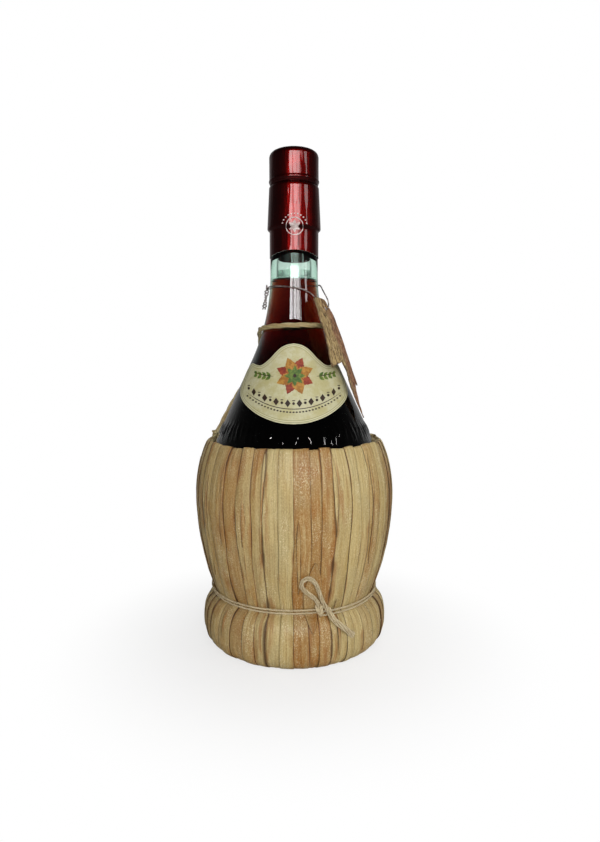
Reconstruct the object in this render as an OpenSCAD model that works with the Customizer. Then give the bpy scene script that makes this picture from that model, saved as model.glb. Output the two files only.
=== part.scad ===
// Round-bottomed wine flask in a basket of straw strips, with its stopper, capsule and hanging tag.
// Millimetres, +Z up. The origin is on the ground under the neck, and the front faces -Y.

/* [Bottle] */
// Height of the mouth above the ground
mouth_z = 260.2; // [252:0.2:272]
// Outer diameter of the neck
neck_d = 26.9; // [24:0.1:29]
// Diameter of the bore through the neck
bore_d = 18.4; // [16:0.1:20]
// Height of the thick collar below the mouth
collar_h = 23.4; // [15:0.2:28]
// Diameter of the collar at the mouth
collar_top_d = 27.4; // [27:0.1:30]
// Diameter of the collar at its lower edge
collar_low_d = 29.4; // [28:0.1:32]
// Chamfer round the mouth and under the stopper's head
lip = 1; // [0.5:0.1:1.5]
// Height where the lines of neck and shoulder cross
neck_foot_z = 187; // [180:0.5:192]
// Height of the widest place
belly_z = 84; // [78:0.5:90]
// Height of the upright band above the widest place
belly_band = 2.1; // [1:0.1:4]
// Height of the bottle's lowest point above the ground
bottom_z = 8; // [6:0.1:12]
// Largest diameter of the glass
belly_d = 106; // [96:0.5:110]
// Radius of the hollow curve from neck to shoulder
flare_r = 117; // [60:1:125]
// Radius of the full curve from shoulder to belly
shoulder_r = 70; // [40:1:80]
// Thickness of the glass below the neck
wall = 3.2; // [2:0.1:4]
// Thickness of the glass at the bottom
bottom_t = 4; // [3:0.1:8]
// Height of the wine above the ground
wine_z = 208.6; // [195:0.2:215]

/* [Closure] */
// Diameter of the stopper's head
head_d = 27; // [25:0.1:29]
// Height of the stopper's head
head_h = 18.4; // [12:0.2:22]
// Radius round the top of the head
head_round = 3; // [1:0.1:5]
// Length of the cork below the head
cork_l = 22; // [15:0.5:30]
// Running clearance of the cork in the bore, on the radius
cork_gap = 0.05; // [0.02:0.01:0.09]
// Thickness of the capsule
foil_t = 0.3; // [0.15:0.05:0.5]
// Length of the capsule on the neck, below the collar
sleeve_h = 14.4; // [6:0.2:20]

/* [Label, tag and wire] */
// Thickness of the label's paper
label_t = 0.2; // [0.1:0.05:0.4]
// Diameter of the tag's wire
wire_d = 0.7; // [0.5:0.05:0.8]
// Thickness of the tag's card
card_t = 0.5; // [0.3:0.05:0.8]
// Diameter of the hole in the tag
hole_d = 2.4; // [2:0.1:3]
// Way round the bottle to the tag, from +X
tag_at = -27; // [-35:1:-15]
// Distance of the tag's hole from the neck
tag_out = 6.35; // [6.2:0.05:7.5]
// Height of the tag's hole above the ground
tag_z = 192; // [190:0.5:193]
// Angle by which the tag hangs steeper than the shoulder
tag_steeper = 5.3; // [3:0.1:8]
// Diameter of the straw cord round the neck
neck_cord_d = 2.9; // [2:0.1:3.2]

/* [Basket] */
// Height of the basket's rim above the ground
rim_z = 119; // [112:0.5:124]
// Height of the basket's widest place
basket_z = 87; // [84:0.5:92]
// Thickness of a straw strip
strip_t = 1.8; // [1:0.1:2.4]
// Gap between two straw strips at the belly
seam = 0.12; // [0.08:0.01:0.3]
// Thickness of the straw hoop inside the rim
rim_hoop_d = 2.6; // [1.6:0.1:3]
// Thickness of the straw cords between glass and strips
girth_cord_d = 1.8; // [1.2:0.1:2.4]
// Heights of the lower and the upper straw cord
girth_z = [68, 98];
// Height of the waist
waist_z = 31; // [29:0.5:34]
// Depth of the waist inside the base roll's widest place
waist_depth = 6.8; // [5:0.1:8]
// Largest diameter of the base roll
base_d = 106.4; // [102:0.2:110]
// Height of the base roll's widest place
base_z = 14; // [12:0.5:16]
// Height from there to the top of the roll
base_rise = 18; // [17:0.5:20]
// Width of the base roll from the circle that it stands on to its widest place
base_a = 14.7; // [12:0.1:17]
// Length of the strips tucked in under the foot
foot_tuck = 4; // [2:0.5:6]
// Clearance of the pad that closes the bottom, inside the base roll
pad_gap = 1.75; // [1:0.05:4]
// Height of the pad's underside above the ground
pad_z = 1.5; // [1:0.1:2.5]

/* [Ties] */
// Diameter of the twine round the waist
tie_d = 1.4; // [1:0.1:1.5]
// Height from one turn of the twine to the next
tie_step = 1.9; // [1.9:0.1:2.4]
// Depth of the twine's lowest place below the waist
tie_drop = 0.6; // [0:0.1:1]
// Diameter of the knot
knot_d = 5.2; // [4.4:0.1:6]
// Way round the bottle to the knot, from +X
knot_at = -73.5; // [-80:0.5:-65]
// Diameter of the bow's cord
bow_d = 1.6; // [1.2:0.1:1.8]

/* [Hidden] */
STRIPS = 36;
LOOP_RINGS = 24;
TIE_RINGS = 36;
function strip_name(i) = str("straw_strip_", i < 10 ? "0" : "", i);
$fn = 64;

// Clearances
touch_gap = 0.05; // foil, paper and wine from the glass
flat_gap = 0.1;   // flat faces that rest on each other
soft_gap = 0.15;  // straw and cord from what they lie on
hoop_room = 0.5;  // strips from the rim's hoop

// Radii and heights that follow from the sizes above
neck_r = neck_d / 2;
bore_r = bore_d / 2;
belly_r = belly_d / 2;
collar_z = mouth_z - collar_h;
collar_step = collar_low_d / 2 - neck_r;
sleeve_z = collar_z - collar_step - sleeve_h;
head_z = mouth_z + flat_gap;
tag_r = neck_r + tag_out;
tag_lean = atan((belly_r - neck_r) / (neck_foot_z - crest_z(belly_r - neck_r))) - tag_steeper;
waist_r = base_d / 2 - waist_depth;
foot_r = base_d / 2 - base_a;
basket_r = belly_r + girth_cord_d + strip_t + 2 * soft_gap;
rim_r = glass_r(rim_z) + rim_hoop_d + strip_t + 2 * soft_gap + hoop_room;

// Colours
GLASS = [0.35, 0.5, 0.4, 0.5];
STRAW = [0.78, 0.68, 0.46];
STRAW_DARK = [0.66, 0.5, 0.3];
RED_FOIL = [0.45, 0.03, 0.05];

function unit(v) = v / norm(v);
function turn(p, a) = [p.x * cos(a) - p.y * sin(a), p.x * sin(a) + p.y * cos(a)];
function reversed(list) = [for (i = [len(list) - 1:-1:0]) list[i]];
function arc(c, r, a0, a1, n) = [for (i = [0:n]) c + r * [cos(a0 + (a1 - a0) * i / n), sin(a0 + (a1 - a0) * i / n)]];

// Points round the corner p with the radius r, on the way from a to b
function corner(a, p, b, r, n) =
    let (u = unit(a - p), v = unit(b - p), half = acos(u * v) / 2,
         centre = p + unit(u + v) * r / sin(half),
         from = p + u * r / tan(half) - centre, side = sign(cross(from, p - centre)))
    [for (i = [0:n]) centre + turn(from, side * (180 - 2 * half) * i / n)];

// Height where the lines of shoulder and belly cross, so that the full curve ends above the widest place
function crest_z(dr, z = belly_z, n = 8) = n == 0 ? z :
    crest_z(dr, belly_z + belly_band + shoulder_r * tan(atan(dr / (neck_foot_z - z)) / 2), n - 1);

// One side of the bottle from the neck's end down to the axis, moved outward by o
function side_line(neck, belly, low, o) =
    let (top = [neck + o, collar_z], foot = [neck + o, neck_foot_z],
         crest = [belly + o, crest_z(belly - neck)],
         widest = [belly + o, belly_z])
    concat([top], corner(top, foot, crest, flare_r - o, 8), corner(foot, crest, widest, shoulder_r + o, 5),
           [for (a = [0:10:90]) [(belly + o) * cos(a), belly_z - (belly_z - low + o) * sin(a)]]);
function outer_line(o) = side_line(neck_r, belly_r, bottom_z, o);
function inner_line(o) = side_line(bore_r, belly_r - wall, bottom_z + bottom_t, o);

// Radius of the glass at a height, and its slope there
function glass_r(z) = lookup(z, [for (p = outer_line(0)) [p.y, p.x]]);
function slope(z) = (glass_r(z - 0.5) - glass_r(z + 0.5));
function off_glass(z, gap) = glass_r(z) + gap * sqrt(1 + pow(slope(z), 2));

// A point at the height z and the distance r from the axis, at the angle a from +X
function around(a, r, z) = [r * cos(a), r * sin(a), z];

// The normals of a tube that follows the tangents t, without twist
function normals(t) =
    [for (i = 0, n = unit(cross(t[0], abs(t[0].z) < 0.9 ? [0, 0, 1] : [1, 0, 0])); i < len(t);
          i = i + 1, n = i < len(t) ? unit(n - (n * t[i]) * t[i]) : n) n];

// A round tube along points, with flat ends
module tube(points, d, sides) {
    last = len(points) - 1;
    t = [for (i = [0:last]) unit(points[min(i + 1, last)] - points[max(i - 1, 0)])];
    n = normals(t);
    rings = [for (i = [0:last]) let (b = cross(t[i], n[i])) for (k = [0:sides - 1])
        points[i] + d / 2 * (n[i] * cos(360 * k / sides) + b * sin(360 * k / sides))];
    walls = [for (i = [0:last - 1], k = [0:sides - 1]) let (a = i * sides + k, b = i * sides + (k + 1) % sides)
        each [[a, a + sides, b], [b, a + sides, b + sides]]];
    caps = [for (k = [1:sides - 2]) each [[0, k, k + 1],
        [last * sides, last * sides + k + 1, last * sides + k]]];
    polyhedron(rings, concat(walls, caps), convexity = 8);
}

// Least gap of a tube of diameter d to itself, left out within skip points
function least_gap(points, d, skip) =
    min([for (i = [0:len(points) - 1], j = [i + skip:1:len(points) - 1]) norm(points[i] - points[j])]) - d;

// Bottle, wine and closure
module glass_bottle() color(GLASS) rotate_extrude(convexity = 6)
    polygon(concat([[bore_r, mouth_z], [collar_top_d / 2 - lip, mouth_z],
                    [collar_top_d / 2, mouth_z - lip], [collar_low_d / 2, collar_z],
                    [neck_r, collar_z - collar_step]],
                   [for (p = outer_line(0)) if (p.y < collar_z - collar_step) p],
                   reversed(inner_line(0))));

module wine() color([0.25, 0.02, 0.04]) rotate_extrude() intersection() {
    polygon(concat(inner_line(-touch_gap), [[0, collar_z]]));
    square([belly_r, wine_z]);
}

module stopper_head() color([0.15, 0.03, 0.03]) rotate_extrude()
    polygon(concat([[0, head_z], [head_d / 2 - lip, head_z], [head_d / 2, head_z + lip]],
                   arc([head_d / 2 - head_round, head_z + head_h - head_round], head_round, 0, 90, 5),
                   [[0, head_z + head_h]]));

module cork_shank() color([0.76, 0.6, 0.42]) {
    r = bore_r - cork_gap;
    translate([0, 0, head_z - cork_l + lip]) cylinder(h = cork_l - lip, r = r);
    translate([0, 0, head_z - cork_l]) cylinder(h = lip, r1 = r - lip, r2 = r);
}

// The capsule's line over the stopper's head, moved outward by o
function head_line(o) = concat(
    [[head_d / 2 - lip + o * sqrt(2), head_z], [head_d / 2 + o, head_z + lip - o * tan(22.5)]],
    arc([head_d / 2 - head_round, head_z + head_h - head_round], head_round + o, 0, 90, 5),
    [[0, head_z + head_h + o]]);
module capsule_top() color(RED_FOIL) rotate_extrude()
    polygon(concat(head_line(touch_gap), reversed(head_line(touch_gap + foil_t))));

// The capsule's line over collar and neck, moved outward by o
function skirt_line(o) = [
    [collar_top_d / 2 - lip + o * sqrt(2), mouth_z], [collar_top_d / 2 + o, mouth_z - lip + o * tan(22.5)],
    [collar_low_d / 2 + o, collar_z - o * tan(22.5)],
    [neck_r + o, collar_z - collar_step - o * tan(22.5)], [neck_r + o, sleeve_z]];
module capsule_skirt() color(RED_FOIL) rotate_extrude()
    polygon(concat(skirt_line(touch_gap), reversed(skirt_line(touch_gap + foil_t))));

// Label: a bell-shaped outline, seen from the front, laid on the shoulder
label_half = [[0, 172.4], [4.5, 171.4], [8.5, 168.8], [12.8, 164.2], [17.4, 160.7], [20.5, 160.8], [23.2, 161.6],
              [26, 158.5], [28.4, 153], [29.8, 147.5], [29.6, 144.5], [28, 141.4], [24.6, 138.2], [19.4, 134.9],
              [13.6, 132.5], [7, 130.8], [0, 130.3]];
module label() color([0.92, 0.9, 0.75]) intersection() {
    rotate_extrude()
        polygon(concat(outer_line(touch_gap), reversed(outer_line(touch_gap + label_t))));
    rotate([90, 0, 0]) linear_extrude(height = belly_r)
        polygon(concat(label_half, [for (p = reversed(label_half)) if (p.x > 0) [-p.x, p.y]]));
}

// Tag: its outline across and up the card, from the hole
tag_outline = [[-14.2, 2.6], [-13.4, 4.6], [-8.4, 6.2], [-3, 6], [1.5, 5.2], [7.2, -3], [9.8, -7.2], [12, -12.6],
               [13.6, -18], [14.8, -27], [13.6, -36], [13.2, -41], [12.6, -45.2], [9.8, -41.4], [8.4, -46],
               [6.8, -53], [4.2, -61], [1.6, -64.4], [0.8, -61], [-0.8, -54], [-3, -47], [-3.4, -38], [-5.2, -31.4],
               [-7.8, -32.6], [-12, -33.2], [-16.4, -34.4], [-15, -28], [-13, -17], [-12.4, -11], [-13.4, -2.4]];
module tag_card() color([0.62, 0.45, 0.25])
    translate(around(tag_at, tag_r, tag_z)) rotate([0, 0, tag_at]) rotate([0, -tag_lean, 0])
        rotate([90, 0, 90]) linear_extrude(height = card_t, center = true) difference() {
            polygon(tag_outline);
            circle(d = hole_d);
        }

// Wire: both ends twisted at the left, one loop round the neck. The bight that goes through the tag's
// hole bends where it leaves the neck, so it is a piece of its own, a short gap away at both ends.
// Each point is the angle from the tag, the distance from the axis and the height above the hole.
wire_front = [[-141, 15, 12.4], [-128, 14.8, 12.6], [-108, 14.8, 12.4], [-88, 14.8, 11.9], [-71, 14.8, 11.4],
              [-55, 14.8, 10.8], [-40, 14.9, 9.8], [-28.7, 15.1, 8.6]];
wire_bight = [[-27, 15.2, 8.4], [-17, 15.7, 6.6], [-9, 16.6, 4.4], [-3.5, 18.1, 1.8], [-1, 19, 0.5], [0, 19.8, 0],
              [0.8, 20.7, 0], [1.6, 21.3, 1.2], [3.5, 21, 3.4], [6, 19.9, 6], [12, 17.7, 9.2], [21, 16, 12]];
wire_back = [[22.4, 15.9, 12.35], [32, 15.1, 14], [45, 14.9, 14.7], [62, 14.8, 14.5], [87, 14.8, 14.2],
             [117, 14.8, 13.8], [147, 14.8, 13.2], [177, 14.8, 12.8], [197, 15, 12.4]];
twist_top = [-149, 15.5, 11];
twist_low = [-149, 17.2, 0.5];
twist_turns = 2.5;
twist_steps = 15;
twist_r = wire_d / 2 + 0.22;
wire_k = tag_r / wire_bight[5][1];
function from_tag(p) = around(tag_at + p[0], p[1] * wire_k, tag_z + p[2] * wire_k);
// One of the two twisted ends, which stands opposite the other
function twisted(phase) = [for (i = [0:twist_steps]) let (k = i / twist_steps, a = phase + 360 * twist_turns * k)
    from_tag(twist_top * (1 - k) + twist_low * k) + twist_r * [cos(a), sin(a), 0]];
module wire_tube(points) tube(points, wire_d, 6);
module tag_wire_loop() color([0.35, 0.35, 0.37]) {
    wire_tube(concat(reversed(twisted(-60)), [for (p = wire_front) from_tag(p)]));
    wire_tube(concat([for (p = wire_back) from_tag(p)], twisted(120)));
}
module tag_wire_bight() color([0.35, 0.35, 0.37]) wire_tube([for (p = wire_bight) from_tag(p)]);

// Straw cord: from the basket's rim up the shoulder at the left, then once round the neck.
// Each point is the angle from +X and the height, as a share of the way from the rim to the neck's foot.
stay = [[176, 0.032], [175, 0.081], [172, 0.176], [168, 0.279], [162, 0.382], [155, 0.47], [149, 0.54],
        [146, 0.61], [146, 0.68], [149, 0.74], [155, 0.795], [163, 0.84], [172, 0.872], [181, 0.895]];
neck_loop = [for (a = [190:360 / LOOP_RINGS:460]) [a, 0.935 - 0.022 * pow((a - 300) / 110, 2)]];
module neck_cord() color(STRAW) {
    gap = neck_cord_d / 2 + 2 * soft_gap;
    tube([for (p = concat(stay, neck_loop)) let (z = rim_z + p[1] * (neck_foot_z - rim_z))
        around(p[0], off_glass(z, gap), z)], neck_cord_d, 8);
}

// Basket: the line of its outside from rim to foot, moved outward by o
function basket_line(o) =
    let (up = rise_radius(basket_r - rim_r, rim_z - basket_z),
         down = rise_radius(basket_r - waist_r, basket_z - waist_z))
    concat(
        arc([basket_r - up, basket_z], up + o, asin((rim_z - basket_z) / up), 0, 4),
        arc([basket_r - down, basket_z], down + o, -1.5, -asin((basket_z - waist_z) / down), 5),
        [for (a = [62:-16:-82]) [foot_r + (base_a + o) * bulge(cos(a)),
                                 base_z + ((a > 0 ? base_rise : base_z) + o) * bulge(sin(a))]],
        [[foot_r, -o], [foot_r - foot_tuck, -o]]);
// Radius of an arc that is upright at one end and comes in by dr over the height dz
function rise_radius(dr, dz) = (dr * dr + dz * dz) / (2 * dr);
// Fuller than a circle, as the wrapped roll is
function bulge(x) = sign(x) * pow(abs(x), 0.8);

// Angles of the seams between strips, from the front, clockwise seen from below
seams = concat([-61, -51, -41, -31, -23, -16, -8, 0, 9, 15, 22, 32, 38, 45, 54, 62, 70, 80, 90],
               [for (a = [102:12:258]) a], [270, 280, 290, 299]);
seam_turn = asin(seam / basket_r);
module straw_strip(i) color(i % 3 == 0 ? STRAW_DARK : STRAW)
    rotate([0, 0, seams[i - 1] - 90 + seam_turn / 2])
        rotate_extrude(angle = seams[i] - seams[i - 1] - seam_turn, convexity = 6)
            polygon(concat(basket_line(0), reversed(basket_line(-strip_t))));

// Hidden straw rings between glass and strips
module straw_ring(z, r, d) color(STRAW_DARK) rotate_extrude() translate([r, z]) circle(d = d, $fn = 24);
module rim_hoop() {
    z = rim_z - rim_hoop_d;
    straw_ring(z, off_glass(z, soft_gap + rim_hoop_d / 2), rim_hoop_d);
}
module girth_cord(z) straw_ring(z, off_glass(z, soft_gap + girth_cord_d / 2), girth_cord_d);

// Base: a roll of straw inside the strips, cut to the glass, and the pad in its middle
module base_ring() color(STRAW_DARK) rotate_extrude() difference() {
    in = strip_t + soft_gap;
    polygon([for (a = [0:15:345]) [foot_r + (base_a - in) * bulge(cos(a)),
        base_z + ((a < 180 ? base_rise : base_z) - in) * bulge(sin(a))]]);
    polygon(concat(outer_line(2 * soft_gap), [[0, collar_z]]));
}
module base_pad() color(STRAW_DARK) translate([0, 0, pad_z])
    cylinder(h = bottom_z - pad_z - 2 * soft_gap, r = foot_r - base_a + strip_t + soft_gap - pad_gap);

// Twine: two turns round the waist, with both ends in the knot
tie_turns = 2;
tie_low = waist_z - tie_drop;
function basket_at(z) = lookup(z, [for (p = basket_line(0)) [p.y, p.x]]);
// Distance from the axis at which the twine clears the strips above and below it
function tie_reach(z) =
    let (gap = tie_d / 2 + 2 * soft_gap)
    max([for (a = [-80:10:80]) basket_at(z + gap * sin(a)) + gap * cos(a)]);
tie_line = [for (a = [0:360 / TIE_RINGS:360 * tie_turns]) let (z = tie_low + tie_step * a / 360)
    around(knot_at + a, tie_reach(z) / cos(180 / TIE_RINGS), z)];
knot_z = tie_low + tie_step;
module waist_tie() color([0.8, 0.74, 0.58]) {
    echo(least_gap_of_twine = least_gap(tie_line, tie_d, TIE_RINGS / 2));
    tube(tie_line, tie_d, 6);
    translate(around(knot_at, tie_reach(knot_z) + (knot_d - tie_d) / 2, knot_z)) sphere(d = knot_d);
}

// Bow: one loop and one tail. Each point is the angle from the knot, the distance from the axis and the height.
bow_route = [[-1, 49.6, 35.1], [-2, 50.3, 38.3], [-4.5, 51.3, 41.5], [-8, 52.1, 44.3], [-11, 52.9, 47],
             [-12.2, 53.7, 49.8], [-11.3, 54.3, 52.2], [-8.8, 54.6, 53.3], [-6.2, 54.3, 52.2], [-4.3, 53.7, 49.8],
             [-2.7, 52.9, 46.6], [-1.2, 51.9, 43], [0.4, 51, 39.6], [2, 50.4, 37], [3.7, 50.4, 34.6],
             [5.1, 50.6, 32], [6.4, 50.8, 29.6], [8.7, 51.6, 27.2], [11.7, 53, 24.6], [14.9, 53.9, 21.8],
             [18.3, 54.3, 18.6]];
module bow_cord() color([0.8, 0.74, 0.58])
    tube([for (p = bow_route) around(knot_at + p[0], p[1], p[2])], bow_d, 8);

glass_bottle();
wine();
stopper_head();
cork_shank();
capsule_top();
capsule_skirt();
label();
tag_wire_loop();
tag_wire_bight();
tag_card();
neck_cord();
rim_hoop();
girth_cord(girth_z[0]);  // girth_cord_lower
girth_cord(girth_z[1]);  // girth_cord_upper
base_ring();
base_pad();
waist_tie();
bow_cord();
for (i = [1:STRIPS]) straw_strip(i);
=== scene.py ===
import math
import random

import bmesh
import bpy
import numpy as np
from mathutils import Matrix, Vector


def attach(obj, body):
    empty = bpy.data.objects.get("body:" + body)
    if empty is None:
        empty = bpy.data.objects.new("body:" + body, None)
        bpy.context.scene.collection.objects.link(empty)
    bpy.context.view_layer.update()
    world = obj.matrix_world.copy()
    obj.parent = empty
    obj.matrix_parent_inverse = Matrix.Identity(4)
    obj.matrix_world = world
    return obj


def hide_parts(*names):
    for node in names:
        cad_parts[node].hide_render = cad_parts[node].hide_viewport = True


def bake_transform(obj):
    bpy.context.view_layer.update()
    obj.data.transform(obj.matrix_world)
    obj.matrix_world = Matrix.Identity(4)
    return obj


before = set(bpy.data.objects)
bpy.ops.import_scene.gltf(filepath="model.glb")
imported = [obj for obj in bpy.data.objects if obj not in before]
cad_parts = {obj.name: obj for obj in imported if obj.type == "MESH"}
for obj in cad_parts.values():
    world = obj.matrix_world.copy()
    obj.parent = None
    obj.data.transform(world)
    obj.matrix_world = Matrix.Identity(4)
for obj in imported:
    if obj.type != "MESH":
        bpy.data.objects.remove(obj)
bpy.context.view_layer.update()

MM = 0.001
TAU = 2 * math.pi
UP = np.array([0.0, 0.0, 1.0])

# Sizes of the part's source, in millimetres
MOUTH_Z, COLLAR_H, COLLAR_TOP_R, COLLAR_LOW_R, LIP = 260.2, 23.4, 13.7, 14.7, 1.0
NECK_R, BORE_R, NECK_FOOT_Z = 13.45, 9.2, 187.0
BELLY_R, BELLY_Z, BELLY_BAND, WALL = 53.0, 84.0, 2.1, 3.2
BOTTOM_Z, BOTTOM_T, WINE_Z = 8.0, 4.0, 208.6
FLARE_R, SHOULDER_R = 117.0, 70.0
COLLAR_Z = MOUTH_Z - COLLAR_H
COLLAR_STEP = COLLAR_LOW_R - NECK_R
HEAD_Z, HEAD_R, HEAD_H, HEAD_ROUND = 260.3, 13.5, 18.4, 3.0
SLEEVE_Z = COLLAR_Z - COLLAR_STEP - 14.4
FOIL = 0.3
RIM_Z, BASKET_Z, WAIST_Z, BASE_Z = 119.0, 87.0, 31.0, 14.0
BASKET_R, WAIST_R, FOOT_R, ROLL, ROLL_RISE = 56.9, 46.4, 38.5, 14.7, 18.0
STRIP_T, STRIP_L, FOOT_TUCK, HOOP_D, GIRTH_D = 1.8, 168.0, 4.0, 2.6, 1.8
TIE_STEP, TIE_LOW, KNOT_AT, KNOT_Z = 1.9, 30.4, -73.5, 34.8
TAG_AT, TAG_R, TAG_Z, TAG_LEAN, CARD_T, HOLE_R = -27.0, 19.8, 192.0, 19.52, 0.5, 1.2
GLASS_IOR, WINE_IOR, WINE_SKIN = 1.52, 1.35, 0.03
CORD_D, BOW_W = 2.9, 2.3
# Angles of the seams between the strips, from the front
SEAMS = ([-61, -51, -41, -31, -23, -16, -8, 0, 9, 15, 22, 32, 38, 45, 54, 62, 70, 80, 90]
         + list(range(102, 259, 12)) + [270, 280, 290, 299])

# The bow's line: angle from the knot, radius and height
BOW_ROUTE = [(-1, 49.6, 35.1), (-2, 50.3, 38.3), (-4.5, 51.3, 41.5), (-8, 52.1, 44.3), (-11, 52.9, 47),
             (-12.2, 53.7, 49.8), (-11.3, 54.3, 52.2), (-8.8, 54.6, 53.3), (-6.2, 54.3, 52.2),
             (-4.3, 53.7, 49.8), (-2.7, 52.9, 46.6), (-1.2, 51.9, 43), (0.4, 51, 39.6), (2, 50.4, 37),
             (3.7, 50.4, 34.6), (5.1, 50.6, 32), (6.4, 50.8, 29.6), (8.7, 51.6, 27.2), (11.7, 53, 24.6),
             (14.9, 53.9, 21.8), (18.3, 54.3, 18.6)]


def around(angle, r, z):
    """A point in millimetres, with the angle in degrees from +X."""
    return (r * math.cos(math.radians(angle)), r * math.sin(math.radians(angle)), z)


# Camera, pitched down as the photo's
PITCH_DOWN = 5.36
camera = bpy.data.objects.new("camera", bpy.data.cameras.new("camera"))
bpy.context.scene.collection.objects.link(camera)
camera.data.lens = 26
camera.data.sensor_width = 36
camera.location = (0.00337, -0.353, 0.1614)
camera.rotation_euler = (math.radians(90 - PITCH_DOWN), 0, 0)
camera.data.clip_start = 0.01
bpy.context.scene.camera = camera
bpy.context.scene.view_settings.view_transform = "Standard"


class Field:
    """A socket of a node tree. Arithmetic with it adds the nodes for it."""

    def __init__(self, graph, socket):
        self.graph, self.socket = graph, socket

    def __add__(self, other):
        return self.graph.math("ADD", self, other)

    def __mul__(self, other):
        return self.graph.math("MULTIPLY", self, other)

    def __sub__(self, other):
        return self.graph.math("SUBTRACT", self, other)

    def __rsub__(self, other):
        return self.graph.math("SUBTRACT", other, self)

    def __truediv__(self, other):
        return self.graph.math("DIVIDE", self, other)

    __radd__, __rmul__ = __add__, __mul__


class Graph:
    """A node tree in the making. A field is linked to a socket, and a plain value is set on it."""

    def __init__(self, tree):
        self.tree = tree

    def node(self, kind, **settings):
        made = self.tree.nodes.new(kind)
        for key, value in settings.items():
            setattr(made, key, value)
        return made

    def feed(self, socket, value):
        if isinstance(value, Field):
            self.tree.links.new(value.socket, socket)
        else:
            socket.default_value = value

    def call(self, kind, fed=(), out=0, **settings):
        """The field, or the fields when out is a tuple, of a new node with its inputs fed."""
        made = self.node(kind, **settings)
        for key, value in dict(fed).items():
            self.feed(made.inputs[key], value)
        if isinstance(out, tuple):
            return [Field(self, made.outputs[key]) for key in out]
        return Field(self, made.outputs[out])

    def math(self, operation, *values, clamp=False):
        return self.call("ShaderNodeMath", enumerate(values), operation=operation, use_clamp=clamp)

    def vector(self, operation, *values):
        return self.call("ShaderNodeVectorMath", enumerate(values), operation=operation)

    def xyz(self, *values):
        return self.call("ShaderNodeCombineXYZ", enumerate(values))

    def split(self, vector):
        return self.call("ShaderNodeSeparateXYZ", {0: vector}, (0, 1, 2))

    def blend(self, share, a, b):
        """From a to b by a share from 0 to 1."""
        return a + share * (b - a)

    def span(self, value, low, high, at_low=0.0, at_high=1.0):
        """A smooth step of the value, which is at_low at low and at_high at high."""
        return self.call("ShaderNodeMapRange", enumerate((value, low, high, at_low, at_high)),
                         interpolation_type="SMOOTHSTEP")

    def noise(self, vector, scale, detail=2.0, rough=0.5, bend=0.0):
        return self.call("ShaderNodeTexNoise", {"Vector": vector, "Scale": scale, "Detail": detail,
                                                "Roughness": rough, "Distortion": bend})

    def noise_line(self, w, detail=1.0):
        return self.call("ShaderNodeTexNoise", {"W": w, "Scale": 1.0, "Detail": detail}, noise_dimensions="1D")

    def mix(self, share, under, over):
        """Two colours by a share, each a field or a colour as rgb takes it."""
        under, over = (rgb(*c) if isinstance(c, tuple) else c for c in (under, over))
        return self.call("ShaderNodeMix", {0: share, 6: under, 7: over}, 2, data_type="RGBA")

    def painted(self, colour, *layers):
        """Layers over a colour: a field, its values where a layer starts and is full, the share and colour."""
        for field, low, high, share, ink in layers:
            colour = self.mix(self.span(field, low, high) * share, colour, ink)
        return colour

    def bump(self, height, strength, distance):
        return self.call("ShaderNodeBump", {"Height": height, "Strength": strength, "Distance": distance})

    def number(self, name):
        """The number that the mesh stores under a name."""
        return self.call("ShaderNodeAttribute", out=2, attribute_name=name)

    def lie(self):
        """How the fibres lie: across and along in millimetres, and a number of the piece's own."""
        return self.split(self.call("ShaderNodeAttribute", out=1, attribute_name="lie"))

    def place(self):
        return self.call("ShaderNodeTexCoord", out="Object")

    def shade(self, **values):
        """Feed the sockets of the Principled shader."""
        shader = self.tree.nodes["Principled BSDF"]
        for key, value in values.items():
            self.feed(shader.inputs[key.replace("_", " ")], value)

    def store(self, geometry, name, value, kind="FLOAT"):
        fed = {"Geometry": geometry, "Name": name, "Value": value}
        return self.call("GeometryNodeStoreNamedAttribute", fed, data_type=kind)

    def close(self, geometry, material):
        """The end of a tree of geometry: smooth, real and with its material."""
        smooth = self.call("GeometryNodeSetShadeSmooth", {"Geometry": geometry})
        real = self.call("GeometryNodeRealizeInstances", {"Geometry": smooth})
        dressed = self.call("GeometryNodeSetMaterial", {"Geometry": real, "Material": material})
        self.feed(self.node("NodeGroupOutput").inputs[0], dressed)


def rgb(red, green, blue):
    """A colour as it is seen on a screen, 0 to 255, made linear."""
    def linear(c):
        c /= 255
        return c / 12.92 if c <= 0.04045 else ((c + 0.055) / 1.055) ** 2.4
    return (linear(red), linear(green), linear(blue), 1.0)


def finish(name, **values):
    """A Principled material and its graph."""
    made = bpy.data.materials.new(name)
    made.use_nodes = True
    g = Graph(made.node_tree)
    g.shade(**values)
    return made, g


def foil_finish():
    made, g = finish("capsule_foil", Metallic=1.0, Roughness=0.36, Coat_Weight=1.0, Coat_Roughness=0.05,
                     Coat_IOR=1.5)
    place = g.place()
    cloud = g.noise(place, 90.0, 4.0, 0.6)
    fine = g.noise(g.vector("MULTIPLY", place, (1.0, 1.0, 0.06)), 1500.0, 3.0, 0.6)
    crease = g.noise(g.vector("MULTIPLY", place, (1.0, 1.0, 0.3)), 190.0, 4.0, 0.6, 1.2)
    g.shade(Base_Color=g.mix(g.span(cloud, 0.35, 0.7), (96, 6, 5), (120, 10, 8)),
            Normal=g.bump(fine * 0.22 + crease, 0.3, 0.0006))
    return made


def clear_finish(name, ior, touching_ior, mark, colour, density):
    """A clear body that takes up light inside. Faces with the number mark touch the other body, and bend less."""
    made, g = finish(name, Base_Color=(1, 1, 1, 1), Roughness=0.0, Transmission_Weight=1.0)
    g.shade(IOR=g.blend(g.number(mark), ior, touching_ior))
    inside = g.call("ShaderNodeVolumeAbsorption", {"Color": colour, "Density": density})
    g.feed(g.tree.nodes["Material Output"].inputs["Volume"], inside)
    return made, g


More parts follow.
